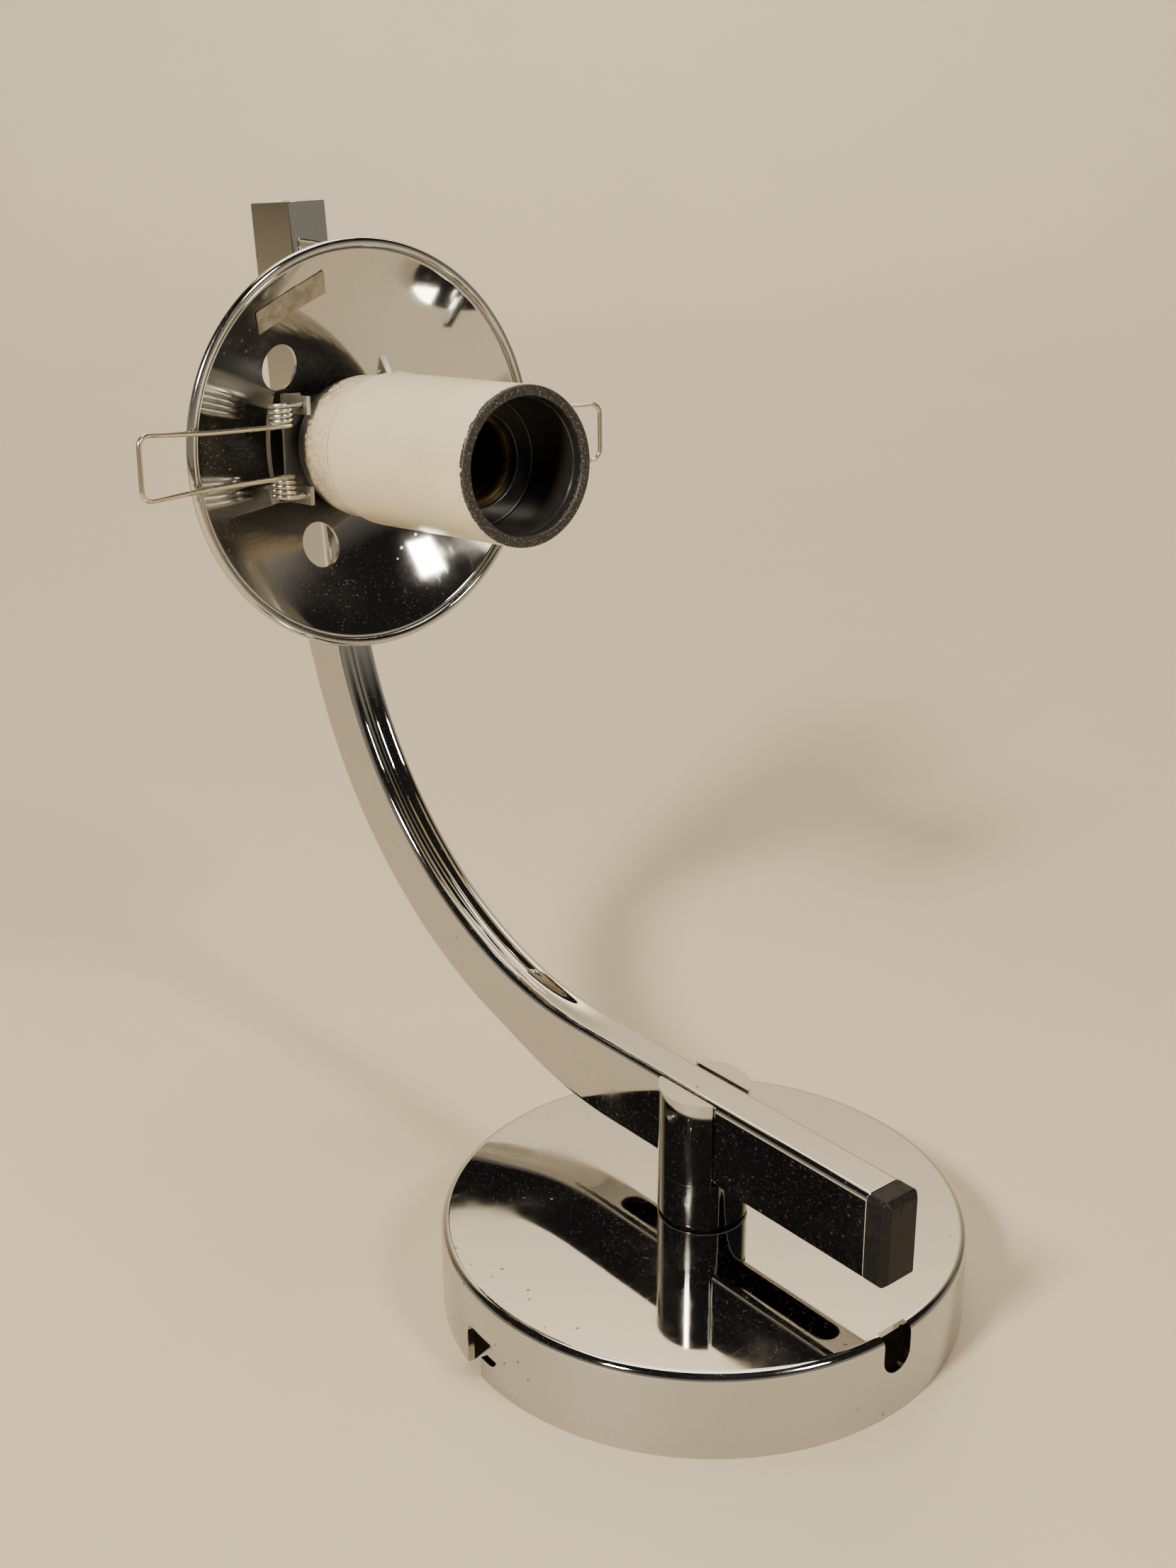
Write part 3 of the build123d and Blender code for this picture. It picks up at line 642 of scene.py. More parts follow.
def painted_bakelite(name, colours, seam, mouth, dirty):
    """Cream paint over black moulding: chipped off at the mouth, dirty towards the dish.

    The seam and the mouth are distances along the head, in metres.
    """
    f = Finish(name)
    x, y, z = f.split()
    radius = f.maths("SQRT", f.plus(f.times(x, x), f.times(y, y)))
    along = f.plus(z, f.scale(f.noise(900, 5, rough=0.65), -0.0011, 0.0011))
    past_mouth = f.band(along, mouth - 0.00075, mouth - 0.00055)
    ragged = f.plus(radius, f.scale(f.noise(1500, 3), -0.0002, 0.0002))
    inside = f.band(ragged, 0.01345, 0.01325)
    chips = f.band(f.noise(520, 6, rough=0.7), 0.60, 0.64)
    rim_chips = f.times(chips, f.band(z, mouth - 0.0035, mouth))
    bare = f.most(f.most(past_mouth, inside), rim_chips)
    stain = f.band(f.noise(85, 6, rough=0.65), 0.47, 0.74)
    crust = f.band(f.noise(820, 8, rough=0.75), 0.40, 0.58)
    patch = f.scale(f.band(f.noise(130, 4), 0.38, 0.62), 0.35, 1.0)
    crusted = f.times(crust, f.times(f.band(z, seam + 0.0015, seam - 0.0075), patch))
    dirt = f.times(f.most(f.times(stain, 0.20), crusted), dirty)
    specks = f.times(f.specks(650, 0.12), 0.30)
    groove = f.band(f.maths("ABSOLUTE", f.maths("SUBTRACT", z, seam)), 0.00055, 0.00015)
    specks = f.most(specks, f.times(groove, 0.75))
    paint = f.blend(f.noise(55, 4), shade(colours.paint, 0.94), shade(colours.paint, 1.06))
    paint = f.blend(f.most(dirt, specks), paint, colours.grime)
    dust = f.times(f.band(f.noise(2400, 3, rough=0.7), 0.52, 0.68), f.scale(past_mouth, 0.03, 0.42))
    moulding = f.blend(dust, colours.bakelite, MOULDING_DUST)
    rough = f.plus(f.scale(stain, 0.28, 0.40), f.times(past_mouth, 0.25))
    f.set(Base_Color=f.blend(bare, paint, moulding), Roughness=rough, IOR=1.5)
    f.set(Coat_Weight=0.15, Coat_Roughness=0.25)
    film = f.bump(f.maths("SUBTRACT", 1.0, bare), 0.10, 0.8)
    worn = f.bump(crusted, 0.10, 0.6, film)
    f.bump(f.noise(260, 5), 0.02, 0.5, worn)
    return f.material


def foil_label(name, tint):
    """Blank grey label, creased and a little dirty."""
    f = Finish(name)
    crease = f.noise(330, 5, rough=0.6)
    base = f.blend(f.band(crease, 0.35, 0.7), shade(tint, 0.72), shade(tint, 1.25))
    f.set(Base_Color=base, Metallic=0.55, Roughness=f.scale(crease, 0.32, 0.5))
    f.bump(crease, 0.05, 0.7)
    return f.material


def plain(name, tint):
    """Matt floor with the faintest unevenness."""
    f = Finish(name)
    f.set(Base_Color=f.blend(f.noise(9, 3), shade(tint, 0.97), shade(tint, 1.03)), Roughness=0.6)
    f.bump(f.noise(260, 3), 0.05, 0.25)
    return f.material


def dress(node, material):
    """Give a carried-over CAD node its finish through its object's material slots."""
    thing = frame["nodes"][node]
    if not thing.material_slots:
        thing.data.materials.append(None)
    for place in thing.material_slots:
        place.link = "OBJECT"
        place.material = material


def show(thing, material, body, slot, *nodes):
    """Finish a new piece, let it ride on its body and stand for its CAD nodes."""
    if material is not None:
        thing.data.materials.clear()
        thing.data.materials.append(material)
    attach(thing, body)
    if nodes:
        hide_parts(*nodes)
    return thing


# ---- operators, one for each group of pieces ----------------------------------------------

class LAMP_OT_canopy(Operator):
    """Canopy: a pressed cup with two hooked side slots and a cable hole"""

    bl_idname = "lamp.canopy"
    bl_label = "Canopy"

    def execute(self, context):
        sizes, colours = context.scene.lamp_sizes, context.scene.lamp_colours
        low, high = box_mm("canopy")
        radius, top = high.x, high.z
        sheet, edge = sizes.canopy_sheet / MM, sizes.canopy_edge / MM
        hole = 5.08                      # radius of the post nipple's hole
        cup = turned("canopy_cup", [
            (low.z, radius, 0.15), (top, radius, edge), (top, hole, 0.1), (top - sheet, hole, 0.1),
            (top - sheet, radius - sheet, edge - sheet + 0.3), (low.z, radius - sheet, 0.15),
        ], count=2 * sizes.around, step=6)
        slots = ("bayonet_slot_front", "bayonet_slot_back")
        cutters = [self.slot_cutter(mounts[name], radius) for name in slots]

        # Cable hole: half its width, and the height of its rounded lower end and of its upper end.
        half, floor, above = 3.1, 8.4, 22
        full = half - 0.01
        notch = [(-half, above, 0.1), (-half, floor, full), (half, floor, full), (half, above, 0.1)]
        place = axes(SIDE, UP, ALONG, Vector(((radius - 2) * MM, 0, 0)))
        cutters.append(prism("hole_cutter", notch, [(6, 0, 0), (0, 0, 0)], place))
        cut(cup, *cutters)
        finish = chrome(
            "canopy_chrome", colours.chrome, gloss=0.04, haze=0.12, marks=0.7, wave=0.010, shift=(1, 2, 3),
            satin=0.16, dirty=0.22,
        )
        show(cup, finish, "base", "chrome", "canopy")
        return {"FINISHED"}

    @staticmethod
    def slot_cutter(mount, radius):
        """Cutter of a hooked slot: in from the open edge, then round the cup."""
        out = Vector(mount["axis"])
        half = mount["dims"]["r_mm"]
        full = half - 0.01
        reach = 4.8 / 2                  # half of the slot's travel round the cup
        deep, shallow = -mount["pos_m"][2] / MM - half, -mount["pos_m"][2] / MM + half
        hook = [
            (reach + half, deep, full), (-reach - half, deep, full), (-reach - half, 3, 0.2),
            (-reach + half, 3, 0.2), (-reach + half, shallow, 0.25), (reach + half, shallow, full),
        ]
        place = axes(UP.cross(out), -UP, -out, out * (radius + 2) * MM)
        return prism("slot_cutter", hook, [(6, 0, 0), (0, 0, 0)], place)


class LAMP_OT_post(Operator):
    """Post: slotted pillar with its clamp screw and the washer under its foot"""

    bl_idname = "lamp.post"
    bl_label = "Post"

    def execute(self, context):
        sizes, colours = context.scene.lamp_sizes, context.scene.lamp_colours
        low, high = box_mm("post")
        radius, foot, top = high.x, low.z, high.z
        # Floor of the arm's slot and half its width, then the bores below it.
        floor, half, bore, step, stem = 25.0, 4.05, 5.05, 23.0, 3.0
        grub_hole = 1.75
        body = turned("post_body", [
            (foot, bore, 0.05), (foot, radius, 0.3), (floor, radius, 0.02), (floor, stem, 0.1),
            (step, stem, 0.05), (step, bore, 0.05),
        ], count=sizes.around)
        start = math.asin(half / radius)
        arc = np.linspace(start, math.pi - start, 41)[1:-1]
        edge = radius * math.cos(start)
        screw_height = joints["clamp_screw_turn"]["pos_m"][2]
        cheeks = []
        for side in (-1, 1):
            outline = [(edge, side * half, 0.25)]
            outline += [(radius * math.cos(t), side * radius * math.sin(t), -1) for t in arc]
            outline.append((-edge, side * half, 0.25))
            cheeks.append(prism(f"cheek{side}", outline, [(top, 0, 0.3), (floor, 0, 0)]))
            if side < 0:
                place = axes(ALONG, UP, -SIDE, Vector((0, 0, screw_height)))
                cut(cheeks[-1], rod("drill", 12, 0, grub_hole, place))
        plate = chrome(
            "post_chrome", colours.chrome, gloss=0.04, haze=0.10, marks=0.55, wave=0.004, shift=(5, 1, 2),
        )
        for thing in (body, *cheeks):
            thing.data.materials.append(plate)
        show(join("post_pillar", [body, *cheeks]), None, "post", "chrome", "post")

        low, high = box_mm("foot_washer")
        washer = turned("foot_ring", [
            (low.z, bore, 0.05), (low.z, high.x, 0.2), (high.z, high.x, 0.2), (high.z, bore, 0.05),
        ], count=sizes.around)
        show(washer, moulded("washer_plastic", colours.plastic), "post", "black_plastic", "foot_washer")

        low, high = box_mm("grub_screw")
        place = axes(ALONG, UP, -SIDE, Vector((0, 0, (low.z + high.z) / 2 * MM)))
        screw = rod("clamp_grub", -low.y, -high.y, (high.z - low.z) / 2, place)
        slot = rounded_box((-3, -0.28), (3, 0.28), 0.05)
        cut(screw, prism("driver_slot", slot, [(-low.y + 1, 0, 0), (-low.y - 1.0, 0, 0)], place))
        steel = dull_metal("black_steel", BLACK_STEEL, 0.4)
        show(screw, steel, "clamp_screw", "dark_steel", "grub_screw")
        return {"FINISHED"}


class LAMP_OT_arm(Operator):
    """Arm: bent rectangular tube with an end cap on its tail and a plug in its top"""

    bl_idname = "lamp.arm"
    bl_label = "Arm"

    def execute(self, context):
        sizes, colours = context.scene.lamp_sizes, context.scene.lamp_colours
        low, high = box_mm("arm_tube")
        inner, wall = sizes.bend_inner / MM, sizes.tube_wall / MM
        width, depth = high.y - low.y, 16.0
        middle = low.z + depth / 2
        radius = inner + depth / 2
        start, top_length, softened = 30.0, 69.0, 0.25
        bend = math.pi / 2 - math.asin(HEAD_DIR.z)
        tail = high.x
        span = tail + start
        bent = span + radius * bend
        total = bent + top_length

        def line(s):
            """Place and direction of the tube's middle line."""
            if s < span:
                return np.array((tail - s, 0, middle)), np.array((-1.0, 0, 0))
            turn = min((s - span) / radius, bend)
            way = np.array((-math.cos(turn), 0, math.sin(turn)))
            rise = radius * (1 - math.cos(turn))
            spot = np.array((-start - radius * math.sin(turn), 0, middle + rise))
            return spot + way * max(0.0, s - bent), way

        def ease(s):
            """How strongly the tube is deformed: 0 in its straight ends, 1 in the bend."""
            a = np.clip((s - span + 8) / 34, 0, 1)
            b = np.clip((bent + 8 - s) / 30, 0, 1)
            return (a * a * (3 - 2 * a)) * (b * b * (3 - 2 * b))

        def section(s, shrink):
            """Ring of the tube's section: (side, out from the bend's centre), with its tangents."""
            amount = ease(s)
            half = width / 2 - shrink
            inside = -depth / 2 + shrink
            outside = depth / 2 - shrink - amount * sizes.bend_flat / MM
            edge = max(0.35, (sizes.tube_edge / MM - shrink) * (1 + 0.35 * amount))
            reach = half - edge
            counts = np.array((15, 7, 9, 7) * 2)
            v = np.linspace(-reach, reach, counts[0])
            hollow = amount * sizes.bend_dish / MM
            bow = (1 - (v / reach) ** 2) ** 2
            up = np.linspace(inside + edge, outside - edge, counts[2])
            share = (up - up[0]) / (up[-1] - up[0])
            bulge = half + amount * 0.12 * 4 * share * (1 - share)

            def corner(middle, level, first):
                """Points of a rounded corner between its two ends."""
                a = np.radians(np.linspace(first, first + 90, counts[1] + 2)[1:-1])
                return np.column_stack((middle + edge * np.cos(a), level + edge * np.sin(a)))

            pts = np.concatenate((
                np.column_stack((v, inside + hollow * bow)), corner(reach, inside + edge, -90),
                np.column_stack((bulge, up)), corner(reach, outside - edge, 0),
                np.column_stack((-v, outside - hollow * 0.55 * bow)), corner(-reach, outside - edge, 90),
                np.column_stack((-bulge, up))[::-1], corner(-reach, inside + edge, 180),
            ))
            before = pts - np.roll(pts, 1, 0)
            after = np.roll(pts, -1, 0) - pts
            before /= np.linalg.norm(before, axis=1, keepdims=True)
            after /= np.linalg.norm(after, axis=1, keepdims=True)
            ways = before + after
            ends = np.cumsum(counts) - 1
            starts = ends - counts + 1
            ways[starts[::2]] = after[starts[::2]]
            ways[ends[::2]] = before[ends[::2]]
            return pts, ways / np.linalg.norm(ways, axis=1, keepdims=True)

        def place_ring(s, shrink):
            """The ring in space, and its tangents round the section."""
            spot, way = line(s)
            out = np.array((-way[2], 0, way[0]))
            pts, ways = section(s, shrink)
            ring = spot + np.outer(pts[:, 0], SIDE) + np.outer(pts[:, 1], out)
            return ring, np.outer(ways[:, 0], SIDE) + np.outer(ways[:, 1], out)

        def wall_rows(stations, shrink, sign):
            """Rows of one wall, their normals from the true slope in both directions."""
            rows = []
            for s in stations:
                here, round_way = place_ring(s, shrink)
                if span - 9 <= s <= bent + 9:
                    long_way = place_ring(s + 0.2, shrink)[0] - place_ring(s - 0.2, shrink)[0]
                else:
                    long_way = line(s)[1]
                normal = np.cross(round_way, long_way)
                normal *= sign / np.linalg.norm(normal, axis=1, keepdims=True)
                rows.append((here, normal, normal))
            return rows

        def end_rows(s, sign, shrinks):
            """Flat end face of the tube, from a softened outer edge to the inner wall or back."""
            rings_here = [place_ring(s, shrink)[0] for shrink in shrinks]
            face = np.tile(line(s)[1] * sign, (len(rings_here[0]), 1))
            return [(ring, face, face) for ring in rings_here]

        stations = [
            softened, *np.linspace(1, span - 10, 8), *np.arange(span - 8, bent + 10, 1.6),
            *np.linspace(bent + 12, total - 1, 8), total - softened,
        ]
        rows = wall_rows(stations, 0.0, 1)
        rows += end_rows(total, 1, (softened, wall))
        rows += wall_rows(stations[::-1], wall, -1)
        rows += end_rows(0.0, -1, (wall, softened))
        tube = skin("arm_bent_tube", rows[::-1])
        slot_out, slot_in, slot_half = 33.0, -21.0, 2.5
        outline = rounded_box((slot_in, -slot_half), (slot_out, slot_half), slot_half - 0.01)
        cut(tube, prism("slot_cutter", outline, [(low.z + wall + 0.6, 0, 0), (low.z - 1, 0, 0)]))
        plate = chrome(
            "arm_chrome", colours.chrome, gloss=0.04, haze=0.09, marks=0.8, wave=0.004, shift=(7, 3, 1),
        )
        show(tube, plate, "arm", "chrome", "arm_tube")

        black = moulded("cap_plastic", colours.plastic, 0.42, 0.04)
        low, high = box_mm("tail_cap")
        place = axes(SIDE, UP, ALONG, Vector((0, 0, middle * MM)))
        outline = rounded_box((-width / 2, -depth / 2), (width / 2, depth / 2), 1.25)
        cap = prism("tail_end_cap", outline, [
            (high.x, -1.1, 0), (high.x, -1.0, 0.25), (high.x - 1.0, 0, 0.35), (tail + 0.02, 0, 0.15),
            (tail + 0.02, -1.1, 0.05), (tail - 6.5, -1.1, 0), (tail - 7.0, -1.24, 0),
        ], place)
        show(cap, black, "arm", "black_plastic", "tail_cap")

        spot, way = line(total)
        top_way = Vector(way)
        place = axes(SIDE, top_way.cross(SIDE), top_way, Vector(spot) * MM)
        half_wide, half_deep = width / 2 - wall, depth / 2 - wall
        outline = rounded_box((-half_wide, -half_deep), (half_wide, half_deep), 0.45)
        profile = [(-0.25, -0.4, 0), (-0.25, -0.06, 0.2), (-6.2, -0.06, 0)]
        plug = prism("top_end_plug", outline, profile, place)
        show(plug, black, "arm", "black_plastic", "top_plug")
        return {"FINISHED"}


class LAMP_OT_dish(Operator):
    """Dish: concave reflector with a rolled rim, three round vents and a blank label"""

    bl_idname = "lamp.dish"
    bl_label = "Dish"

    def execute(self, context):
        sizes, colours = context.scene.lamp_sizes, context.scene.lamp_colours
        low, high = box_mm("dish")
        rim = (high.y - low.y) / 2
        bead, sheet = sizes.dish_bead / MM, sizes.dish_sheet / MM
        seat, back = 9.0, 0.5
        face = back + sheet
        edge = rim - 2 * bead + 0.3
        deep = RIM_OUT - face
        centre = RIM_OUT + (edge ** 2 - seat ** 2 - deep ** 2) / (2 * deep)
        sphere = math.hypot(centre - RIM_OUT, edge)
        outer = sphere + sheet

        def bowl(radius, out):
            """How far along the head axis the bowl is at a distance out."""
            return centre - math.sqrt(radius ** 2 - out ** 2)

        back_seat = math.sqrt(outer ** 2 - (centre - back) ** 2)
        inside = [(bowl(sphere, r), r, -1) for r in np.linspace(seat, edge - 0.35, 48)[1:]]
        outside = [(bowl(outer, r), r, -1) for r in np.linspace(edge - 0.15, back_seat, 48)]
        along, out = RIM_OUT - bead / 2, rim - bead
        turns = np.radians(np.linspace(-115, 178, 44))
        roll = [(along + bead * math.cos(t), out + bead * math.sin(t), -1) for t in turns]
        seat_edge = (bowl(sphere, seat), seat, 0)
        profile = [(face, HEAD_HOLE, 0), seat_edge, *inside, *roll, *outside, (back, HEAD_HOLE, 0)]
        cup = turned("dish_bowl", profile, HEAD_PLACE, 2 * sizes.around)
        drills = []
        for k in range(3):
            angle, reach = math.radians(8.5 + 120 * k), sizes.vent_circle
            place = HEAD_PLACE.copy()
            place.translation = HEAD_PLACE @ Vector((reach * math.cos(angle), reach * math.sin(angle), 0))
            drills.append(rod("vent_drill", 9, -2, sizes.vent_radius / MM, place, 96))
        cut(cup, *drills)
        plate = chrome(
            "dish_chrome", colours.chrome, gloss=0.06, haze=0.13, marks=0.85, wave=0.020, shift=(2, 8, 4),
            dirty=0.5,
        )
        show(cup, plate, "arm", "chrome", "dish")
        strip = self.label_strip(lambda out: bowl(sphere - 0.03, out))
        show(strip, foil_label("label_foil", colours.label), "arm", "label_foil", "data_label")
        return {"FINISHED"}

    @staticmethod
    def label_strip(surface):
        """Thin strip laid on a turned surface, with its outer corners lifting."""
        # Where its middle lies: the angle round the dish and the distance out. Then its size.
        angle, reach, long, tall = math.radians(113), 30.1, 16.4, 4.5
        columns, lines = 33, 9
        radial = np.array((math.cos(angle), math.sin(angle)))
        across = np.array((-math.sin(angle), math.cos(angle)))
        top, under = [], []
        for v in np.linspace(-0.5, 0.5, lines):
            for u in np.linspace(-0.5, 0.5, columns):
                spot = radial * (reach + v * tall) + across * u * long
                curl = 0.16 * max(0.0, abs(u) - 0.44) / 0.06 * (0.5 + v)
                lift = 0.10 + curl + 0.02 * math.sin(u * 17 + v * 5)
                z = surface(float(np.hypot(*spot)))
                top.append((*spot, z + 0.05 + lift))
                under.append((*spot, z + lift - 0.03))
        faces = []
        size = columns * lines
        for a in range(lines - 1):
            for b in range(columns - 1):
                k = a * columns + b
                low = size + k
                faces.append((k, k + columns, k + columns + 1, k + 1))
                faces.append((low, low + 1, low + columns + 1, low + columns))
        ring = [
            *range(columns), *range(2 * columns - 1, size, columns),
            *range(size - 2, size - columns - 1, -1), *range(size - 2 * columns, 0, -columns),
        ]
        for a, b in zip(ring, ring[1:] + ring[:1]):
            faces.append((a, b, size + b, size + a))
        return smooth_object("label_strip", top + under, faces, 40, HEAD_PLACE)


class LAMP_OT_holder(Operator):
    """Lampholder: domed cap, skirt with a chipped mouth, and the thread shell inside"""

    bl_idname = "lamp.holder"
    bl_label = "Lampholder"

    def execute(self, context):
        sizes, colours = context.scene.lamp_sizes, context.scene.lamp_colours
        seam = sizes.seam / MM
        radius, mouth, back, full, seat, spigot = 14.2, 63.0, 5.2, 14, 9.6, 12.6
        cap_radius = radius - 0.75
        turns = np.radians(np.linspace(0, 90, 28))[1:-1]
        dome = [
            (full - (full - back) * math.cos(t), seat + (cap_radius - seat) * math.sin(t), -1) for t in turns
        ]
        cap = turned("holder_dome", [
            (back, HEAD_HOLE, 0.1), *dome, (full, cap_radius, -1), (seam - 0.08, cap_radius, 0.3),
            (seam - 0.05, spigot, 0), (seam + 5, spigot, 0.3), (seam + 5, 11.2, 0.2), (18, 11.9, 0),
            (13.2, 11.9, 0), (10.2, 8.9, 0), (10.2, HEAD_HOLE, 0),
        ], HEAD_PLACE, sizes.around)
        paint = painted_bakelite("dome_paint", colours, seam * MM, 0.5, 1.0)
        show(cap, paint, "arm", "painted_bakelite", "holder_cap")

        shelf, bore = mouth - 14, 11.5
        skirt = turned("holder_sleeve", [
            (seam + 0.1, spigot + 0.05, 0), (seam + 0.1, cap_radius + 0.1, 0.25),
            (seam + 1.0, radius - 0.06, 0.7), (seam + 3.2, radius, 3.0), (mouth, 13.95, 0.45),
            (mouth, 12.0, 0.35), (mouth - 2.2, 11.95, 0.1), (mouth - 2.4, 11.75, 0.1), (shelf, 11.7, 0.3),
            (shelf, 8.2, 0.35), (shelf - 2, 8.2, 0.2), (shelf - 2, bore, 0), (seam + 6.6, bore, 0),
            (seam + 6.6, spigot + 0.05, 0),
        ], HEAD_PLACE, sizes.around)
        paint = painted_bakelite("skirt_paint", colours, seam * MM, mouth * MM, 0.7)
        show(skirt, paint, "arm", "painted_bakelite", "holder_skirt")

        start, end, pitch, depth, count = 30.8, 47.0, 2.82, 0.16, 96
        outer, inner, shoulder = 7.1, 6.86, end - 1.2
        out = circle(count)[1]
        angle = np.arange(count) * 2 * math.pi / count

        def thread(z, root):
            """Ring of a pressed thread, fading out at both ends."""
            fade = min(1.0, (z - start) / 1.5, (shoulder - z) / 1.0)
            wave = depth * max(0.0, fade) * np.cos(2 * math.pi * z / pitch - angle)
            return np.column_stack((out * (root + depth + wave)[:, None], np.full(count, z)))

        levels = np.linspace(start, shoulder, 70)
        rows = [thread(z, outer) for z in levels[::-1]] + [thread(z, inner) for z in levels]
        lip = (
            (outer, end - 0.5), (7.5, end), (10.3, end), (10.3, end - 0.7), (7.9, end - 0.7),
            (7.45, end - 1.0),
        )
        rows += [np.column_stack((out * r, np.full(count, z))) for r, z in lip]
        faces = ring_faces(len(rows), count, True)
        shell = smooth_object("thread_barrel", np.concatenate(rows), faces, 45, HEAD_PLACE)
        # Brass darkened to a quarter of its colour: painted shade standing in for the deep, unlit inside of the
        # lampholder
        worn = dull_metal("shell_brass", shade(colours.brass, 0.24), 0.42, 1200, 0.6)
        show(shell, worn, "arm", "brass", "thread_shell")
        return {"FINISHED"}


class LAMP_OT_clips(Operator):
    """Clips: two sprung wire loops, each with a pair of coils and two straight tails"""

    bl_idname = "lamp.clips"
    bl_label = "Wire Clips"

    def execute(self, context):
        sizes, colours = context.scene.lamp_sizes, context.scene.lamp_colours
        steel = dull_metal("spring_wire", colours.spring, 0.24, 900, 0.55)
        wire, coil, turns = sizes.wire / MM, sizes.coil / MM, sizes.coil_turns
        pitch, steps = 0.965, 28
        inner = 4.7
        outer = inner + pitch * turns

        def wound(side, first, last):
            """Points of a coil between two counts of turns from its tail."""
            pts = []
            for k in range(int(first * steps), int(last * steps) + 1):
                t = 2 * math.pi * k / steps
                across = side * (outer - pitch * k / steps)
                pts.append(Vector((coil * math.sin(t), across, coil * math.cos(t))))
            return pts

        # From the coils' axis: the loop's far end, its half width there, and its bowed middle.
        reach, rise, half = 51.4 - 16.7, 20.4 - 9.3, 5.75
        bowed = (reach * 0.55, inner + 0.25, coil + (rise - coil) * 0.51 + 0.25)
        way_out = [(0.0, inner, coil), bowed, (reach, half, rise)]
        way_back = [(x, -y, z) for x, y, z in reversed(way_out)]
        loop = rounded_path(way_out + way_back, [60.0, 2.0, 2.0, 60.0], 9)
        for name in ("right", "left"):
            joint = joints[f"clip_{name}_fold"]
            across = Vector(joint["axis"]).normalized()
            place = axes(across.cross(HEAD_DIR), across, HEAD_DIR, Vector(joint["pos_m"]))
            path = wound(1, 1, turns) + loop[1:-1] + wound(-1, 1, turns)[::-1]
            spring = round_wire(f"clip_loop_{name}", path, wire, place)
            show(spring, steel, f"clip_{name}", "spring_steel", f"clip_{name}")
            ends = []
            for side in (-1, 1):
                tail = [(-4.4, side * outer, coil), (-2.2, side * outer, coil)]
                ends.append(round_wire(f"tail{side}", [*tail, *wound(side, 0, 1)], wire, place))
                ends[-1].data.materials.append(steel)
            tails = join(f"clip_ends_{name}", ends)
            show(tails, None, "arm", "spring_steel", f"clip_tails_{name}")
        return {"FINISHED"}


class LAMP_OT_fastenings(Operator):
    """Fastenings and wiring: finishes of the CAD pieces that are shown as they are"""

    bl_idname = "lamp.fastenings"
    bl_label = "Fastenings and Wiring"

    def execute(self, context):
        colours = context.scene.lamp_colours
        zinc = dull_metal("zinc_plate", colours.zinc, 0.30)
        brass = dull_metal("pressed_brass", colours.brass, 0.30)
        black = moulded("insert_bakelite", colours.bakelite, 0.4, 0.3)
        dark = moulded("washer_black", colours.plastic, 0.5, 0.2)
        block = moulded("block_plastic", colours.block, 0.42, 0.12)
        brown = core_plastic("core_brown", colours.brown)
        blue = core_plastic("core_blue", colours.blue)
        green = core_plastic("core_green_yellow", colours.green, EARTH_YELLOW)
        finishes = {
            "block_bracket": zinc, "block_screw": zinc, "terminal_screws": zinc, "post_nipple": zinc,
            "friction_washer": zinc, "post_nut": zinc, "head_nipple": zinc, "dish_nut": zinc,
            "clip_bracket": zinc, "lock_washer": zinc, "terminal_block": block,
            "terminal_barrels": brass, "earth_screw": brass, "earth_tag": brass,
            "centre_contact": brass, "shell_contact": brass, "contact_screws": brass,
            "holder_insert": black, "dish_washer": dark, "earth_wire": green,
        }
        for run in ("arm", "post", "canopy", "holder"):
            finishes[f"{run}_wire_brown"] = brown
            finishes[f"{run}_wire_blue"] = blue
        for node, material in finishes.items():
            dress(node, material)
        return {"FINISHED"}


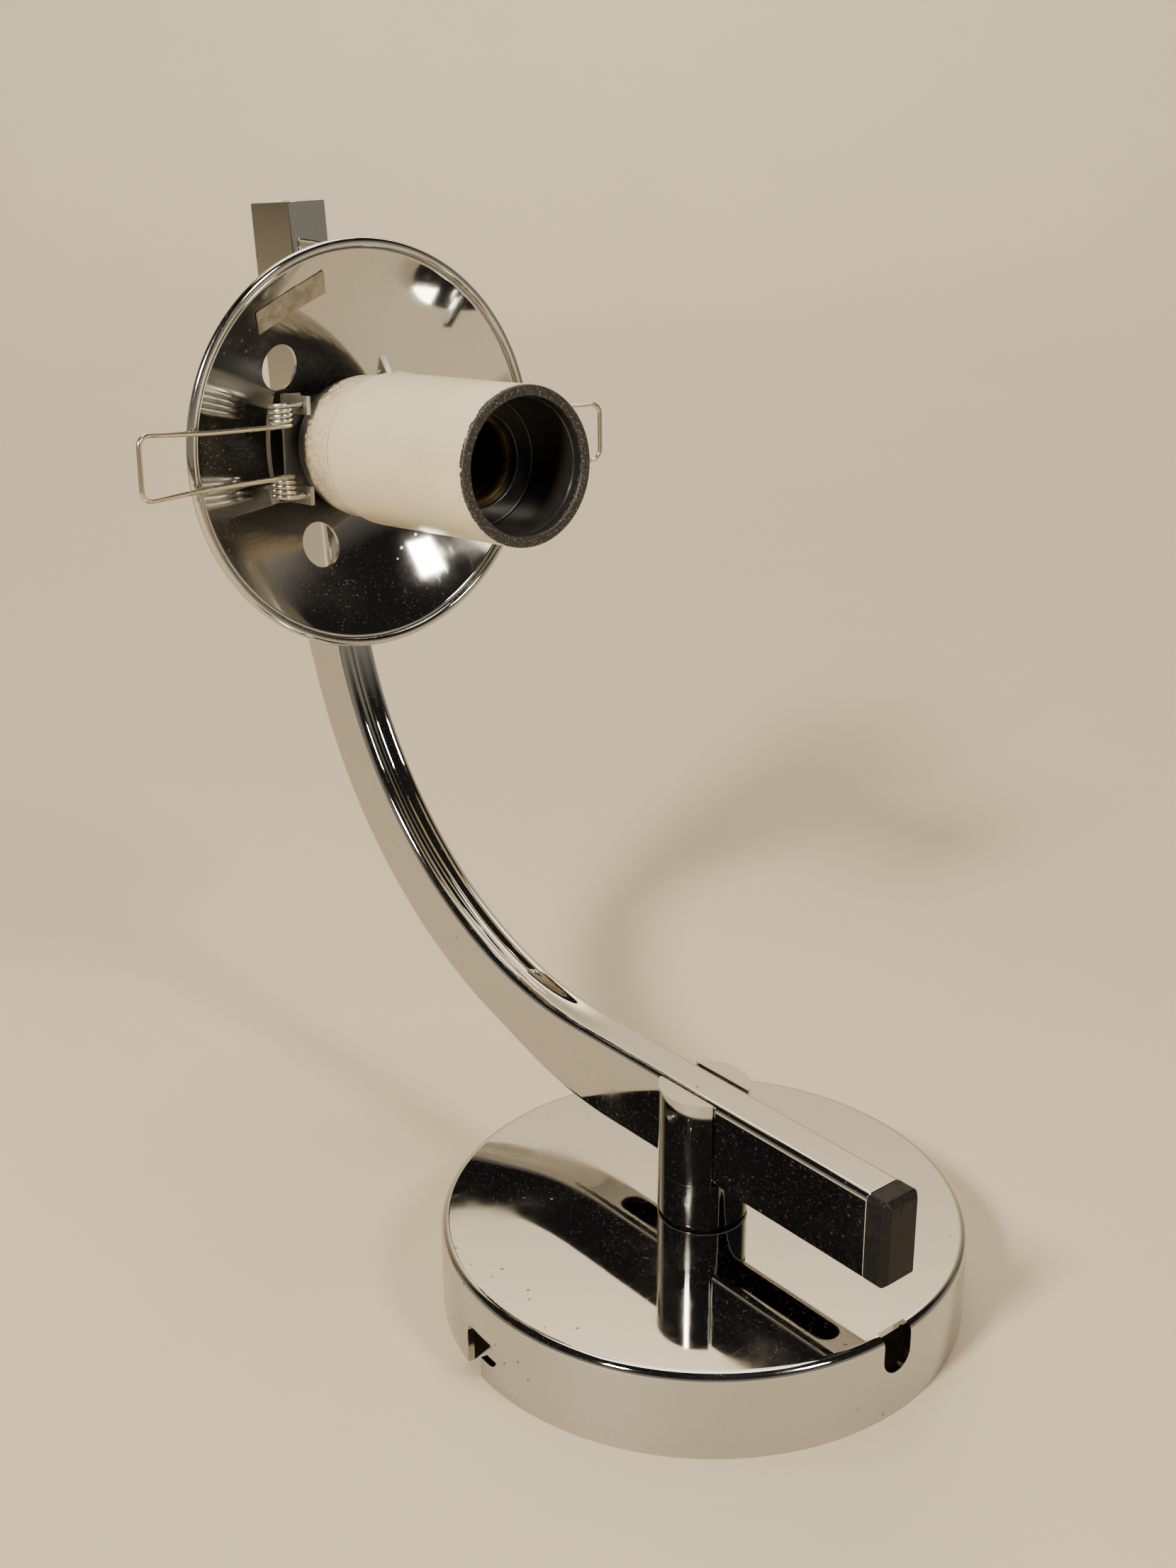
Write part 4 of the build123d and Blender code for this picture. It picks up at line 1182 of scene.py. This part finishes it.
class LAMP_OT_stage(Operator):
    """Stage: pale floor, lights and camera"""

    bl_idname = "lamp.stage"
    bl_label = "Stage"

    def execute(self, context):
        stage, colours = context.scene.lamp_stage, context.scene.lamp_colours
        scene = context.scene
        eye = Vector((0.2094, -0.1978, 0.2097))
        pitch, roll = math.radians(21.43), math.radians(-0.41)
        flat = Vector((-0.7725, 0.6350, 0)).normalized()
        ahead = (flat * math.cos(pitch) - UP * math.sin(pitch)).normalized()
        right = flat.cross(UP)
        up = right.cross(ahead)
        turned_right = right * math.cos(roll) + up * math.sin(roll)
        turned_up = up * math.cos(roll) - right * math.sin(roll)
        data = bpy.data.cameras.new("camera")
        data.sensor_width = 36
        data.sensor_fit = "AUTO"
        data.lens = stage.lens
        data.clip_start = 0.01
        camera = bpy.data.objects.new("camera", data)
        scene.collection.objects.link(camera)
        camera.matrix_world = axes(turned_right, turned_up, -ahead, eye)
        scene.camera = camera

        self.sweep(context, flat, right, plain("floor_plain", colours.floor))
        focus = Vector((-0.035, 0, 0.08))

        def lamp(name, side, up_angle, distance, size, power, tint, aim=None):
            """Area light at two angles from the camera's own direction. It faces the lamp, or aim."""
            turn, lift = math.radians(side), math.radians(up_angle)
            way = (flat * -math.cos(turn) + right * math.sin(turn)) * math.cos(lift)
            way += Vector((0, 0, math.sin(lift)))
            light = bpy.data.lights.new(name, "AREA")
            light.shape = "RECTANGLE"
            light.size, light.size_y = size
            light.energy = power
            light.color = tint
            thing = bpy.data.objects.new(name, light)
            scene.collection.objects.link(thing)
            thing.location = focus + way * distance
            thing.rotation_euler = (aim or -way).to_track_quat("-Z", "Y").to_euler()

        lamp("key_light", -38, 38, 1.15, (0.15, 0.17), stage.key_power, (1.0, 0.88, 0.70))
        lamp("fill_light", 48, 42, 1.3, (0.20, 0.26), stage.fill_power, (1.0, 0.90, 0.75))
        lamp("top_light", 178, 74, 1.5, (1.0, 0.7), stage.top_power, (1.0, 0.93, 0.82))
        lamp("backdrop_light", 180, 66, 2.3, (2.2, 0.5), stage.back_power, (1.0, 0.90, 0.74),
             flat * 0.8 - Vector((0, 0, 0.30)))

        world = bpy.data.worlds.new("studio")
        world.use_nodes = True
        nodes, links = world.node_tree.nodes, world.node_tree.links
        height = nodes.new("ShaderNodeSeparateXYZ")
        links.new(nodes.new("ShaderNodeTexCoord").outputs["Generated"], height.inputs[0])
        room = nodes.new("ShaderNodeValToRGB")
        below, above = room.color_ramp.elements
        below.position, below.color = 0.20, (0.34, 0.305, 0.245, 1)
        above.position, above.color = 0.47, (0.022, 0.020, 0.018, 1)
        links.new(height.outputs[2], room.inputs[0])
        links.new(room.outputs[0], nodes["Background"].inputs[0])
        scene.world = world
        return {"FINISHED"}

    @staticmethod
    def sweep(context, flat, right, material):
        """Floor that curves up into a backdrop behind the lamp."""
        profile = [(-3.0, 0.0)]
        turns = np.radians(np.linspace(0, 88, 24))
        profile += [(1.1 + 0.6 * math.sin(t), 0.6 - 0.6 * math.cos(t)) for t in turns]
        profile.append((1.75, 2.6))
        verts, faces = [], []
        columns = np.linspace(-3.0, 3.0, 13)
        for out, height in profile:
            for across in columns:
                spot = flat * out + right * across
                verts.append((spot.x, spot.y, height))
        for a in range(len(profile) - 1):
            for b in range(len(columns) - 1):
                k = a * len(columns) + b
                faces.append((k, k + 1, k + len(columns) + 1, k + len(columns)))
        mesh = bpy.data.meshes.new("floor")
        mesh.from_pydata(verts, [], faces)
        mesh.shade_smooth()
        floor = bpy.data.objects.new("floor", mesh)
        context.scene.collection.objects.link(floor)
        mesh.materials.append(material)


class LAMP_PT_panel(Panel):
    """The lamp's operators and sizes"""

    bl_idname = "LAMP_PT_panel"
    bl_label = "Adjustable Lamp"
    bl_space_type = "VIEW_3D"
    bl_region_type = "UI"
    bl_category = "Lamp"

    def draw(self, context):
        layout = self.layout
        for operator in OPERATORS:
            layout.operator(operator.bl_idname)
        for group in (context.scene.lamp_sizes, context.scene.lamp_colours, context.scene.lamp_stage):
            box = layout.box()
            for key in group.__annotations__:
                box.prop(group, key)


GROUPS = (("lamp_sizes", LampSizes), ("lamp_colours", LampColours), ("lamp_stage", LampStage))
OPERATORS = (
    LAMP_OT_canopy, LAMP_OT_post, LAMP_OT_arm, LAMP_OT_dish, LAMP_OT_holder, LAMP_OT_clips,
    LAMP_OT_fastenings, LAMP_OT_stage,
)


def register():
    """Register the groups, operators and panel."""
    for name, group in GROUPS:
        bpy.utils.register_class(group)
        setattr(bpy.types.Scene, name, PointerProperty(type=group))
    for item in (*OPERATORS, LAMP_PT_panel):
        bpy.utils.register_class(item)


def unregister():
    """Take the panel, operators and groups away again."""
    for item in (LAMP_PT_panel, *reversed(OPERATORS)):
        bpy.utils.unregister_class(item)
    for name, group in reversed(GROUPS):
        delattr(bpy.types.Scene, name)
        bpy.utils.unregister_class(group)


def main():
    """Build every piece."""
    register()
    for operator in OPERATORS:
        group, name = operator.bl_idname.split(".")
        getattr(getattr(bpy.ops, group), name)()


if __name__ == "__main__":
    main()
